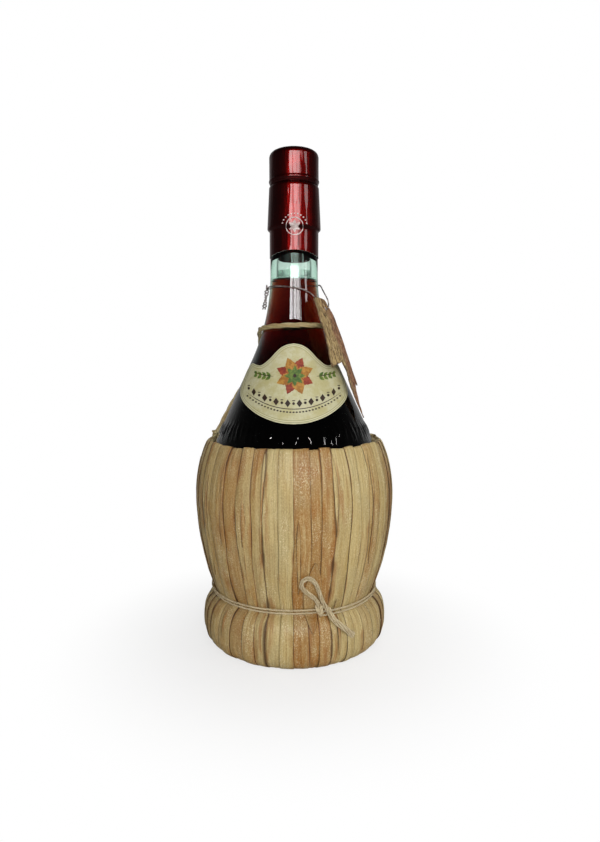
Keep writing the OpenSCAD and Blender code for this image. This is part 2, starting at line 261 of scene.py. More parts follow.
def glass_finish():
    made, g = clear_finish("green_glass", GLASS_IOR, GLASS_IOR / WINE_IOR, "wet", (0.5, 0.86, 0.7, 1), 90.0)
    # The wall behind wine gives no mirror image of its own: too faint to see, and grainy
    g.shade(Specular_Tint=g.blend(g.number("wet"), 1.0, 0.0), Coat_Roughness=0.0,
            Coat_Weight=g.number("shine"), Normal=g.bump(g.noise(g.place(), 55.0, 2.0, 0.5), 0.05, 0.001))
    return made


def wine_finish():
    return clear_finish("wine", WINE_IOR, 1.0, "side", (0.695, 0.27, 0.06, 1), 430.0)[0]


def straw_finish(name, pale, warm, brown, gloss=0.25):
    """Straw, whose fibres follow how it lies, with stains, painted highlight specks, and dark edges that are partly
    painted shade.
    """
    made, g = finish(name, Coat_Weight=gloss, Coat_Roughness=0.28, Specular_IOR_Level=0.4)
    across, along, own = g.lie()
    brim = g.number("brim")

    def grain(wide, long, detail=2.0, rough=0.6, bend=0.0, seed=7.31):
        """Noise whose spots are about 1/wide by 1/long millimetres."""
        return g.noise(g.xyz(across * wide, along * long, own * seed), 1.0, detail, rough, bend)

    rib = grain(1.25, 0.03, 2.0, 0.6, 0.2)
    fibre = grain(2.6, 0.06, 3.0, 0.7, 0.15)
    satin = grain(1.9, 0.9, 3.0, 0.75)
    patch = g.span(grain(0.12, 0.045, 3.0, 0.55, 0.6), 0.45, 0.75)
    # Painted highlight: a mask of pale specks that stand for glints of light on the straw
    painted_glint = g.span(grain(2.0, 1.2, 2.0, 0.7), 0.54, 0.64) * g.span(grain(0.12, 0.035), 0.5, 0.62)
    rusty = g.span(brim, 5.0, 0.6) * g.span(grain(0.3, 0.03, 3.0), 0.46, 0.6)
    colour = g.mix(g.span(grain(0.5, 0.018, 3.0, 0.6, 0.3), 0.35, 0.68), pale, warm)
    colour = g.mix(g.math("ADD", patch * 0.45, g.number("stain") - 0.12, clamp=True), colour, brown)
    colour = g.painted(
        colour,
        (grain(0.05, 0.03, seed=2.9), 0.46, 0.62, 0.25, (172, 158, 114)),
        (rib, 0.52, 0.7, 0.3, (146, 106, 54)),
        (rib, 0.46, 0.28, 0.4, (224, 208, 154)),
        (fibre, 0.52, 0.72, 0.36, (122, 84, 40)),
        (satin, 0.5, 0.66, 0.45, (226, 208, 156)),
        (satin, 0.47, 0.32, 0.3, (136, 98, 52)),
        (grain(1.9, 0.5), 0.68, 0.78, 0.6, (98, 62, 28)))
    # Painted highlight: the glint specks, pale in the base colour
    colour = g.mix(painted_glint * 0.75, colour, (242, 230, 188))
    colour = g.mix(rusty * 0.6, colour, (160, 100, 44))
    # Dark line along each seam: partly the straw's brown edge, partly painted shade of the gap between strips
    g.shade(Base_Color=g.painted(colour, (brim + (fibre - 0.5) * 0.8, 0.9, 0.1, 0.85, (74, 44, 20))),
            Roughness=g.span(satin, 0.35, 0.65, 0.55, 0.28),
            Normal=g.bump(rib + fibre * 0.7 + satin * 0.7, 0.8, 0.0007))
    return made


def paper_finish():
    made, g = finish("label_paper", Roughness=0.55, Coat_Weight=0.12, Coat_Roughness=0.3)
    place, inset = g.place(), g.number("inset")
    cloud, grain = g.noise(place, 130.0, 4.0, 0.6), g.noise(place, 900.0, 3.0, 0.6)
    colour = g.mix(g.span(cloud, 0.38, 0.66), (200, 196, 160), (186, 178, 128))
    colour = g.painted(colour, (grain, 0.45, 0.7, 0.3, (166, 152, 98)))
    # Lines along the edge, each from and to a distance from it
    for low, high, ink in ((0.0, 0.5, (212, 208, 170)), (0.55, 0.85, (128, 126, 84)),
                           (0.9, 1.5, (206, 202, 164)), (1.5, 1.8, (140, 136, 88))):
        line = g.math("GREATER_THAN", inset, low) * g.math("LESS_THAN", inset, high)
        colour = g.mix(line * 0.75, colour, ink)
    g.shade(Base_Color=colour, Normal=g.bump(grain, 0.15, 0.0002))
    return made


def parchment_finish():
    made, g = finish("parchment", Roughness=0.75, Specular_IOR_Level=0.3)
    across, along, _ = g.lie()

    def spots(wide, long, depth, detail=4.0, rough=0.7, bend=0.0):
        return g.noise(g.xyz(across * wide, along * long, depth), 1.0, detail, rough, bend)

    cloud = spots(0.22, 0.06, 0.0, 4.0, 0.6, 0.8)
    mottle = spots(0.8, 0.35, 4.0, 4.0, 0.7, 0.5)
    vein = spots(1.1, 0.12, 9.0, 3.0, 0.6, 0.4)
    blotch = spots(0.5, 0.5, 14.0)
    side = g.span(across + (cloud - 0.5) * 22.0, -6.0, 5.0)
    colour = g.painted(
        g.mix(side, (182, 156, 106), (160, 112, 82)),
        (blotch, 0.52, 0.64, 0.55, (140, 104, 74)),
        (mottle, 0.5, 0.6, 0.75, (98, 70, 50)),
        (vein, 0.52, 0.6, 0.8, (70, 50, 38)),
        (mottle, 0.44, 0.32, 0.75, (220, 200, 152)),
        # Dark line along the torn edge: painted shade
        (g.number("brim"), 0.55, 0.05, 0.7, (84, 60, 48)))
    g.shade(Base_Color=colour, Normal=g.bump(mottle + vein * 0.8 + blotch, 0.7, 0.0009))
    return made


def twine_finish(pale, dark):
    """Fibres that run along a cord."""
    made, g = finish("twine", Roughness=0.7, Specular_IOR_Level=0.3)
    across, along, own = g.lie()
    fibre = g.noise(g.xyz(across * 5.0, along * 0.18, own * 3.7), 1.0, 3.0, 0.6, 0.2)
    cloud = g.noise(g.xyz(along * 0.25, own, 0.0), 1.0, 2.0, 0.5)
    colour = g.mix(g.span(fibre, 0.38, 0.66), pale, dark)
    g.shade(Base_Color=g.painted(colour, (cloud, 0.5, 0.75, 0.4, dark)), Normal=g.bump(fibre, 0.5, 0.0004))
    return made


def cork_finish():
    made, g = finish("cork", Roughness=0.8)
    place = g.place()
    grain = g.noise(place, 260.0, 4.0, 0.6)
    pore = g.noise(g.vector("MULTIPLY", place, (1.0, 1.0, 0.4)), 620.0, 2.0, 0.6)
    colour = g.mix(g.span(grain, 0.35, 0.7), (206, 170, 122), (176, 134, 88))
    g.shade(Base_Color=g.painted(colour, (pore, 0.6, 0.7, 0.8, (92, 58, 34))),
            Normal=g.bump(pore, 0.4, -0.0004))
    return made


def spotted_finish(name, scale, low, high, one, other, bump=None, **values):
    """A colour that goes to another in fine spots."""
    made, g = finish(name, **values)
    spots = g.noise(g.place(), scale, 3.0, 0.6)
    g.shade(Base_Color=g.mix(g.span(spots, low, high), one, other))
    if bump:
        g.shade(Normal=g.bump(spots, *bump))
    return made


def ink_finish(name, dark, light):
    return spotted_finish(name, 420.0, 0.35, 0.65, dark, light, Roughness=0.5, Coat_Weight=0.1,
                          Coat_Roughness=0.3)


FOIL_FINISH = foil_finish()
GLASS = glass_finish()
WINE = wine_finish()
STRAW = straw_finish("straw", (208, 187, 130), (190, 161, 99), (168, 112, 44))
STRAW_CORD = straw_finish("straw_cord", (202, 190, 146), (172, 154, 104), (128, 100, 58), 0.1)
PAPER = paper_finish()
PARCHMENT = parchment_finish()
TWINE = twine_finish((228, 214, 178), (158, 132, 92))
STEEL = spotted_finish("wire_steel", 700.0, 0.4, 0.65, (196, 182, 178), (70, 60, 54), Metallic=0.75,
                       Roughness=0.32)
CORK = cork_finish()
PLASTIC = spotted_finish("stopper_plastic", 500.0, 0.3, 0.7, (52, 14, 14), (40, 10, 11), (0.08, 0.0002),
                         Roughness=0.4)
GREEN_INK = ink_finish("ink_green", (62, 96, 36), (112, 132, 52))
OCHRE_INK = ink_finish("ink_ochre", (150, 96, 30), (186, 136, 54))
RUST_INK = ink_finish("ink_rust", (122, 36, 26), (158, 66, 36))
BROWN_INK = ink_finish("ink_brown", (44, 26, 18), (62, 40, 28))
WHITE_INK = ink_finish("ink_white", (214, 200, 196), (176, 150, 146))


# Lines of revolution, each a list of radius and height
def corner(a, p, b, r, steps):
    """Points round the corner p with the radius r, on the way from a to b."""
    a, p, b = (np.array(q, float) for q in (a, p, b))
    u, v = (a - p) / np.linalg.norm(a - p), (b - p) / np.linalg.norm(b - p)
    half = math.acos(float(u @ v)) / 2
    middle = (u + v) / np.linalg.norm(u + v)
    centre = p + middle * r / math.sin(half)
    start = p + u * r / math.tan(half) - centre
    side = math.copysign(1, start[0] * (p - centre)[1] - start[1] * (p - centre)[0])
    out = []
    for i in range(steps + 1):
        t = side * (math.pi - 2 * half) * i / steps
        out.append(tuple(centre + np.array([start[0] * math.cos(t) - start[1] * math.sin(t),
                                            start[0] * math.sin(t) + start[1] * math.cos(t)])))
    return out


def crest_z(reach):
    z = BELLY_Z
    for _ in range(8):
        z = BELLY_Z + BELLY_BAND + SHOULDER_R * math.tan(math.atan(reach / (NECK_FOOT_Z - z)) / 2)
    return z


def side_line(neck, belly, low, o=0.0):
    foot, crest = (neck + o, NECK_FOOT_Z), (belly + o, crest_z(belly - neck))
    return ([(neck + o, COLLAR_Z)] + corner((neck + o, COLLAR_Z), foot, crest, FLARE_R - o, 28)
            + corner(foot, crest, (belly + o, BELLY_Z), SHOULDER_R + o, 16)
            + [((belly + o) * math.cos(a), BELLY_Z - (BELLY_Z - low + o) * math.sin(a))
               for a in np.linspace(0, math.pi / 2, 30)])


OUTER = side_line(NECK_R, BELLY_R, BOTTOM_Z)
INNER = side_line(BORE_R, BELLY_R - WALL, BOTTOM_Z + BOTTOM_T)


def filled(line, step):
    """The line with points added so that none are further apart than step."""
    out = [line[0]]
    for a, b in zip(line, line[1:]):
        n = max(1, math.ceil(math.dist(a, b) / step))
        out += [tuple(np.array(a) + (np.array(b) - np.array(a)) * k / n) for k in range(1, n + 1)]
    return out


def radius_at(line, z):
    """Radius of a line of revolution at the height z."""
    heights = [p[1] for p in line][::-1]
    return np.interp(z, heights, [p[0] for p in line][::-1])


def linked(name, mesh, material=None):
    made = bpy.data.objects.new(name, mesh)
    bpy.context.scene.collection.objects.link(made)
    if material is not None:
        mesh.materials.append(material)
    return made


def solid(name, points, faces, material, sharp=40):
    """A closed mesh of points in millimetres, with its faces turned outward."""
    mesh = bpy.data.meshes.new(name)
    mesh.from_pydata((np.array(points) * MM).tolist(), [], faces)
    work = bmesh.new()
    work.from_mesh(mesh)
    bmesh.ops.recalc_face_normals(work, faces=work.faces)
    work.to_mesh(mesh)
    work.free()
    mesh.shade_smooth()
    if sharp:
        mesh.set_sharp_from_angle(angle=math.radians(sharp))
    return linked(name, mesh, material)


def lathe(name, line, material, segments=192, closed=False, shape=None, sharp=40):
    """A line of radius and height turned round the axis. shape may move its points."""
    angles = np.arange(segments) * TAU / segments
    points, rows = [], []
    for r, z in line:
        start = len(points)
        if r < 1e-6:
            points.append((0.0, 0.0, z))
        else:
            rr, zz = np.full(segments, float(r)), np.full(segments, float(z))
            if shape is not None:
                rr, zz = shape(angles, rr, zz)
            points += list(zip(rr * np.cos(angles), rr * np.sin(angles), zz))
        rows.append(list(range(start, len(points))))
    faces = []
    for a, b in zip(rows, rows[1:] + (rows[:1] if closed else [])):
        for k in range(segments):
            n = (k + 1) % segments
            if len(a) == 1 and len(b) > 1:
                faces.append((a[0], b[n], b[k]))
            elif len(b) == 1 and len(a) > 1:
                faces.append((a[k], a[n], b[0]))
            elif len(a) > 1:
                faces.append((a[k], a[n], b[n], b[k]))
    return solid(name, points, faces, material, sharp)


def wrinkle(angles, z, waves, seed):
    """A smooth uneven line round the object, between about -1 and 1."""
    rng = random.Random(seed)
    out = np.zeros_like(angles)
    for n in waves:
        out += math.cos(rng.uniform(0, TAU) + z * rng.uniform(0.05, 0.25)) * np.cos(n * angles + rng.uniform(0, TAU))
    return out / len(waves)


def place_piece(piece, body, nodes=()):
    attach(piece, body)
    if nodes:
        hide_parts(*nodes)
    return piece


# Bottle and wine. One group of the ornament: beads and slanting bars, each by its place in the group, height,
# lean and half length
EMBOSS_Z, EMBOSS_H, EMBOSS_R, EMBOSS_GROUPS, MENISCUS = 124.6, 0.56, 0.95, 19, 0.45
EMBOSS_GROUP = ((0.1, 1.9, 0, 0), (0.24, -1.8, 0, 0), (0.38, 0.4, 0.35, 1.7), (0.56, 2.2, 0, 0),
                (0.66, -0.6, 0, 0), (0.86, 0.0, -0.35, 2.2))


def emboss(angles, r, z):
    """Raised beads and slanting bars in groups, in a band round the outside of the shoulder."""
    if abs(z[0] - EMBOSS_Z) > 4 or r[0] < radius_at(OUTER, z[0]) - WALL / 2:
        return r, z
    height = np.zeros_like(r)
    for place, up, lean, half in EMBOSS_GROUP:
        cell = angles * EMBOSS_GROUPS / TAU - place
        dz = z - EMBOSS_Z - up
        across = (cell - np.round(cell)) * TAU / EMBOSS_GROUPS * r - lean * dz
        beyond = np.maximum(np.abs(dz) - half, 0)
        round_top = np.clip(1 - (across ** 2 + beyond ** 2) / EMBOSS_R ** 2, 0, 1) ** 0.6
        height = np.maximum(height, round_top)
    return r + EMBOSS_H * height, z


def mark_faces(made, name, test):
    """Write 1 on the faces whose middle, in millimetres, passes the test, and 0 on the others."""
    marks = [float(test(*(c / MM for c in face.center))) for face in made.data.polygons]
    made.data.attributes.new(name, "FLOAT", "FACE").data.foreach_set("value", marks)
    return made


def make_bottle():
    """Outside and inside, each a closed skin from the mouth to the axis, joined at the mouth."""
    step_z, level = COLLAR_Z - COLLAR_STEP, WINE_Z + MENISCUS
    collar = [(BORE_R + 0.6, MOUTH_Z), (COLLAR_TOP_R - LIP, MOUTH_Z), (COLLAR_TOP_R - 0.4, MOUTH_Z - 0.35),
              (COLLAR_TOP_R, MOUTH_Z - LIP), (COLLAR_LOW_R, COLLAR_Z + 0.3), (COLLAR_LOW_R - 0.1, COLLAR_Z - 0.1),
              (NECK_R, step_z)]
    low = [p for p in OUTER if p[1] < step_z - 0.5]
    low[-1] = (0.0, low[-1][1])
    low = sorted(low + [(float(radius_at(OUTER, level)), level)], key=lambda p: -p[1])
    outside = [low[0]]
    for a, b in zip(low, low[1:]):
        outside += filled([a, b], 0.45 if abs(a[1] - EMBOSS_Z) < 6 else 3.0)[1:]
    inside = filled(INNER[-1:0:-1] + [(BORE_R, level), INNER[0]], 4.0)
    inside[0] = (0.0, inside[0][1])
    points = collar + outside + [p for p in inside if p[1] < MOUTH_Z - 2] + [(BORE_R, MOUTH_Z - 0.6)]
    made = lathe("glass_body", points, GLASS, 512, closed=True, shape=emboss, sharp=50)

    def inward(x, y, z):
        between = (radius_at(OUTER, z) + radius_at(INNER, z)) / 2
        return z > BOTTOM_Z + BOTTOM_T / 2 and math.hypot(x, y) < between

    mark_faces(made, "wet", lambda x, y, z: z < level and inward(x, y, z))
    return mark_faces(made, "shine", lambda x, y, z: z < level and not inward(x, y, z))


def make_wine():
    """The filling, with its rim drawn up at the glass. Its side lies a little inside the wall."""
    skin = side_line(BORE_R, BELLY_R - WALL, BOTTOM_Z + BOTTOM_T, WINE_SKIN)
    side = filled([(BORE_R + WINE_SKIN, WINE_Z)] + [p for p in skin if p[1] < WINE_Z - 0.5], 4.0)
    side[-1] = (0.0, side[-1][1])
    top = [(r, WINE_Z + up) for r, up in (
        (0.0, -0.35), (BORE_R * 0.6, -0.35), (BORE_R - 1.6, -0.3), (BORE_R - 0.7, -0.1), (BORE_R - 0.2, 0.35),
        (BORE_R, MENISCUS), (BORE_R + WINE_SKIN, MENISCUS))]
    made = lathe("wine_body", top + side, WINE)
    return mark_faces(made, "side", lambda x, y, z: math.hypot(x, y) > radius_at(INNER, z) - 0.02)


place_piece(make_bottle(), "root", ["glass_bottle"])
place_piece(make_wine(), "root", ["wine"])

# Stopper: its head and cork keep their CAD shape
for node, material in (("stopper_head", PLASTIC), ("cork_shank", CORK)):
    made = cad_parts[node]
    made.data.materials.clear()
    made.data.materials.append(material)


def arc_line(cx, cz, r, low, high, steps):
    return [(cx + r * math.cos(math.radians(a)), cz + r * math.sin(math.radians(a)))
            for a in np.linspace(low, high, steps + 1)]


def make_capsule():
    """Foil over the head and foil over collar and neck, each a thin shell with small wrinkles."""
    def head(o):
        return ([(HEAD_R - LIP + o * 1.3, HEAD_Z), (HEAD_R - 0.35 + o, HEAD_Z + 0.45), (HEAD_R + o, HEAD_Z + LIP)]
                + filled([(HEAD_R + o, HEAD_Z + LIP + 0.3), (HEAD_R + o, HEAD_Z + 5)], 0.35)
                + filled([(HEAD_R + o, HEAD_Z + 5), (HEAD_R + o, HEAD_Z + HEAD_H - HEAD_ROUND)], 1.2)[1:]
                + arc_line(HEAD_R - HEAD_ROUND, HEAD_Z + HEAD_H - HEAD_ROUND, HEAD_ROUND + o, 0, 90, 8)[1:]
                + [(6.0, HEAD_Z + HEAD_H + o), (2.0, HEAD_Z + HEAD_H + o), (0.0, HEAD_Z + HEAD_H + o)])

    def head_shape(angles, r, z):
        share = np.clip((r - 8) / 5, 0, 1)
        crumple = wrinkle(angles, z[0], (5, 9, 14, 23), 11) * 0.09 + wrinkle(angles, z[0] * 3, (31, 44), 12) * 0.03
        taper = 0.22 * min(1.0, max(0.0, (HEAD_Z + 2.2 - z[0]) / 1.2))
        crumple = crumple + 0.3 * math.exp(-((z[0] - HEAD_Z - 2.6) / 0.7) ** 2) - taper
        return r + share * crumple, z + (1 - share) * 0.05 * wrinkle(angles, r[0], (3, 5), 4)

    outside, inside = head(0.05 + FOIL), head(0.1)
    made = lathe("capsule_head_foil", outside + inside[::-1], FOIL_FINISH, 256, shape=head_shape)
    place_piece(made, "stopper", ["capsule_top"])

    def neck(o):
        return ([(COLLAR_TOP_R - LIP + o * 1.3, MOUTH_Z), (COLLAR_TOP_R - 0.3 + o, MOUTH_Z - 0.4)]
                + filled([(COLLAR_TOP_R + o, MOUTH_Z - LIP), (COLLAR_LOW_R + o, COLLAR_Z + 0.2)], 1.2)
                + [(COLLAR_LOW_R - 0.15 + o, COLLAR_Z - 0.25), (NECK_R + 0.35 + o, COLLAR_Z - COLLAR_STEP + 0.3)]
                + filled([(NECK_R + o, COLLAR_Z - COLLAR_STEP - 0.3), (NECK_R + o, SLEEVE_Z)], 1.2))

    def neck_shape(angles, r, z):
        low = np.clip((SLEEVE_Z + 5 - z) / 5, 0, 1)
        crumple = wrinkle(angles, z[0], (4, 7, 12, 19), 21) * 0.07 + wrinkle(angles, z[0] * 3, (29, 47), 22) * 0.03
        front = np.clip(-np.sin(angles), 0, 1) ** 2
        return r + crumple, z + low * (2.4 * front + 0.4 * wrinkle(angles, 0.0, (2, 3, 7, 11), 31))

    outside, inside = neck(0.05 + FOIL), neck(0.12)
    made = lathe("capsule_neck_foil", outside + inside[::-1], FOIL_FINISH, 256, closed=True, shape=neck_shape)
    place_piece(made, "root", ["capsule_skirt"])


make_capsule()


# Smooth curves, and shapes laid on a surface of revolution
def spline(points, steps):
    """A Catmull-Rom curve from the second point to the last but one, which isn't in it."""
    p = np.array(points, float)
    return [0.5 * (2 * b + (c - a) * t + (2 * a - 5 * b + 4 * c - d) * t * t + (3 * b - a - 3 * c + d) * t ** 3)
            for a, b, c, d in zip(p, p[1:], p[2:], p[3:]) for t in np.arange(steps) / steps]


def smooth_loop(points, steps):
    """A closed smooth curve through the points."""
    return np.array(spline([points[-1], *points, *points[:2]], steps))


def smooth_path(points, steps):
    """An open smooth curve through the points."""
    p = np.array(points, float)
    return np.array(spline([2 * p[0] - p[1], *p, 2 * p[-1] - p[-2]], steps) + [p[-1]])


def loop_distance(point, loop):
    """Least distance in the plane from a point to a closed loop."""
    a, b = loop, np.roll(loop, -1, axis=0)
    ab = b - a
    t = np.clip(((point - a) * ab).sum(1) / np.maximum((ab ** 2).sum(1), 1e-12), 0, 1)
    return float(np.sqrt(((a + ab * t[:, None] - point) ** 2).sum(1)).min())


def on_glass(x, z, lift, line=OUTER):
    """The point of the front of the glass, or of another line of revolution, at x and z, lifted off it."""
    r = float(radius_at(line, z))
    slope = float(radius_at(line, z - 0.5) - radius_at(line, z + 0.5))
    y = -math.sqrt(max(r * r - x * x, 0.0))
    normal = Vector((x / r, y / r, slope)).normalized()
    return (x + normal.x * lift, y + normal.y * lift, z + normal.z * lift)


LABEL_HALF = [(0, 172.4), (4.5, 171.4), (8.5, 168.8), (12.8, 164.2), (17.4, 160.7), (20.5, 160.8), (23.2, 161.6),
              (26, 158.5), (28.4, 153), (29.8, 147.5), (29.6, 144.5), (28, 141.4), (24.6, 138.2), (19.4, 134.9),
              (13.6, 132.5), (7, 130.8), (0, 130.3)]
LABEL_LOOP = smooth_loop(LABEL_HALF + [(-x, z) for x, z in LABEL_HALF[-2:0:-1]], 6)


def make_label():
    """Paper in columns from its lower to its upper edge, each on the glass."""
    top, low = smooth_path(LABEL_HALF[:10], 8), smooth_path(LABEL_HALF[9:], 8)[::-1]
    columns, rows = 121, 60
    points, inset = [], []
    for lift in (0.25, 0.03):
        for x in 29.7 * np.sin(np.linspace(-math.pi / 2, math.pi / 2, columns)):
            high, deep = (np.interp(abs(x), edge[:, 0], edge[:, 1]) for edge in (top, low))
            for z in deep + (high - deep) * np.linspace(0, 1, rows):
                points.append(on_glass(x, z, lift))
                inset.append(loop_distance(np.array([x, z]), LABEL_LOOP))

    def at(side, i, j):
        return (side * columns + i) * rows + j

    faces = [(at(side, i, j), at(side, i + 1, j), at(side, i + 1, j + 1), at(side, i, j + 1))[::turn]
             for side, turn in ((0, 1), (1, -1)) for i in range(columns - 1) for j in range(rows - 1)]
    rim = ([(i, 0) for i in range(columns)] + [(columns - 1, j) for j in range(1, rows)]
           + [(i, rows - 1) for i in range(columns - 2, -1, -1)] + [(0, j) for j in range(rows - 2, 0, -1)])
    faces += [(at(0, *a), at(1, *a), at(1, *b), at(0, *b)) for a, b in zip(rim, rim[1:] + rim[:1])]
    made = solid("label_paper", points, faces, PAPER, 50)
    made.data.attributes.new("inset", "FLOAT", "POINT").data.foreach_set("value", inset)
    place_piece(made, "root", ["label"])


make_label()


def printed(name, shapes, material, lift=0.29, line=OUTER):
    """Flat closed shapes in x and z, cut fine and laid on the label or the foil as thin ink."""
    work = bmesh.new()
    for loop in shapes:
        work.faces.new([work.verts.new((float(x), 0.0, float(z))) for x, z in loop])
    bmesh.ops.triangulate(work, faces=work.faces)
    for _ in range(2):
        cut_long_edges(work, 1.2)
    for vert in work.verts:
        vert.co = Vector(on_glass(vert.co.x, vert.co.z, lift, line)) * MM
    bmesh.ops.recalc_face_normals(work, faces=work.faces)
    bmesh.ops.reverse_faces(work, faces=[f for f in work.faces if f.normal.y > 0])
    mesh = bpy.data.meshes.new(name)
    work.to_mesh(mesh)
    work.free()
    place_piece(linked(name, mesh, material), "root")


def cut_long_edges(work, longest, edges=None):
    long_edges = [e for e in edges or work.edges if e.calc_length() > longest]
    bmesh.ops.subdivide_edges(work, edges=long_edges, cuts=1)
    bmesh.ops.triangulate(work, faces=work.faces)


def petal(cx, cz, angle, length, width):
    """A pointed petal from a centre outward, with a notched edge."""
    out = []
    for side, ts in ((1, np.linspace(0, 1, 15)), (-1, np.linspace(1, 0, 15)[1:-1])):
        for i, t in enumerate(ts):
            w = side * width * math.sin(math.pi * t ** 0.8) * (1 + (0.1 if i % 2 else -0.06))
            s, c = math.sin(angle), math.cos(angle)
            out.append((cx + length * t * s + w * c, cz + length * t * c - w * s))
    return out


def ribbon(path, width):
    """A flat line of even width along a path, with tapered ends."""
    path = np.array(path, float)
    run = np.gradient(path, axis=0)
    side = np.stack([-run[:, 1], run[:, 0]], 1) / np.linalg.norm(run, axis=1)[:, None]
    share = np.minimum(np.linspace(0, 1, len(path)), np.linspace(1, 0, len(path)))
    half = (width / 2 * np.clip(share * 8, 0.25, 1))[:, None]
    return list(path + side * half) + list((path - side * half)[::-1])


def spot(x, z, r):
    return [(x + r * math.cos(a), z + r * math.sin(a)) for a in np.arange(8) * TAU / 8]


def dash(x, z, half, width):
    """A short level line."""
    return ribbon([(x + half * k, z) for k in (-1, -1 / 3, 1 / 3, 1)], width)


def lower_arc(share, up):
    """A point of the curve that runs parallel to the label's lower edge."""
    return (27.5 * share, 135.6 + up + 9.5 * abs(share) ** 2.1)


def print_label():
    """A round flower with eight petals, two sprigs, and rows of dots and dashes in place of lettering."""
    cx, cz = 0.6, 155.0
    sprig_z = cz - 0.4
    rays = np.arange(8) * TAU / 8
    for name, first, ink, lift in (("rust", 0, RUST_INK, 0.29), ("ochre", 1, OCHRE_INK, 0.3)):
        petals = [petal(cx, cz, a, 10.4, 3.0) for a in rays[first::2] + TAU / 16]
        printed(f"label_petals_{name}", petals, ink, lift)
    leaves = [petal(cx, cz, a, 5.6, 1.3) for a in rays]
    for side in (-1, 1):
        for k, x in enumerate((13.0, 15.5, 18.0, 20.4)):
            leaves += [petal(cx + side * x, sprig_z + 0.12 * k * k, side * a, 3.4 - 0.3 * k, 0.8)
                       for a in (0.75, 2.2)]
    printed("label_leaves_green", leaves, GREEN_INK, 0.31)
    lines = [ribbon([(cx + side * x, sprig_z + 0.012 * (x - 9) ** 2) for x in np.linspace(11.5, 22.5, 14)], 0.4)
             for side in (-1, 1)]
    lines.append(spot(cx, cz, 1.0))
    for i in range(-8, 9):
        x, z = lower_arc(i / 9, 5.0)
        wide = 1.25 if abs(i) > 6 else 1.5
        if i % 2:
            lines.append([(x - wide, z), (x, z + 2.0), (x + wide, z), (x, z - 2.0)])
        else:
            lines += [spot(x, z, 0.75), dash(x, z + 1.5, 0.9, 0.5)]
    lines.append(ribbon([lower_arc(s, 2.2) for s in np.linspace(-0.93, 0.93, 60)], 0.4))
    lines += [dash(*lower_arc(i / 16.5, 0.6), 0.6, 0.8) for i in range(-15, 16)]
    printed("label_lines_brown", lines, BROWN_INK, 0.32)


def print_foil():
    """A ring with a small flower in it and a bow of dots over it, pale on the capsule."""
    cx, cz = 0.4, 236.0
    skirt = [(COLLAR_TOP_R, MOUTH_Z), (COLLAR_LOW_R, COLLAR_Z + 0.2), (COLLAR_LOW_R - 0.15, COLLAR_Z - 0.25),
             (NECK_R + 0.35, COLLAR_Z - COLLAR_STEP + 0.3), (NECK_R, COLLAR_Z - COLLAR_STEP - 0.3),
             (NECK_R, SLEEVE_Z)]
    shapes = [ribbon([(cx + 4.5 * math.cos(a), cz + 4.5 * math.sin(a)) for a in np.linspace(low, high, 24)], 0.55)
              for low, high in ((0.02, math.pi), (math.pi + 0.02, TAU))]
    shapes += [petal(cx, cz, a, 3.4, 0.85) for a in np.arange(6) * TAU / 6]
    shapes += [spot(cx + 6.6 * math.sin(a), cz + 6.6 * math.cos(a), 0.42) for a in np.radians(range(-75, 76, 15))]
    printed("capsule_flower", shapes, WHITE_INK, FOIL + 0.2, skirt)


print_label()
print_foil()


# Geometry Nodes trees
def tree_with(name, numbers, others):
    """A tree with named inputs, its graph, and its inputs as fields."""
    tree = bpy.data.node_groups.new(name, "GeometryNodeTree")
    inputs = {"Geometry": "Geometry", **dict.fromkeys(numbers, "Float"), **others}
    for label, kind in inputs.items():
        tree.interface.new_socket(name=label, in_out="INPUT", socket_type="NodeSocket" + kind)
    tree.interface.new_socket(name="Geometry", in_out="OUTPUT", socket_type="NodeSocketGeometry")
    g = Graph(tree)
    outputs = g.node("NodeGroupInput").outputs
    return tree, g, {label: Field(g, outputs[label]) for label in inputs}


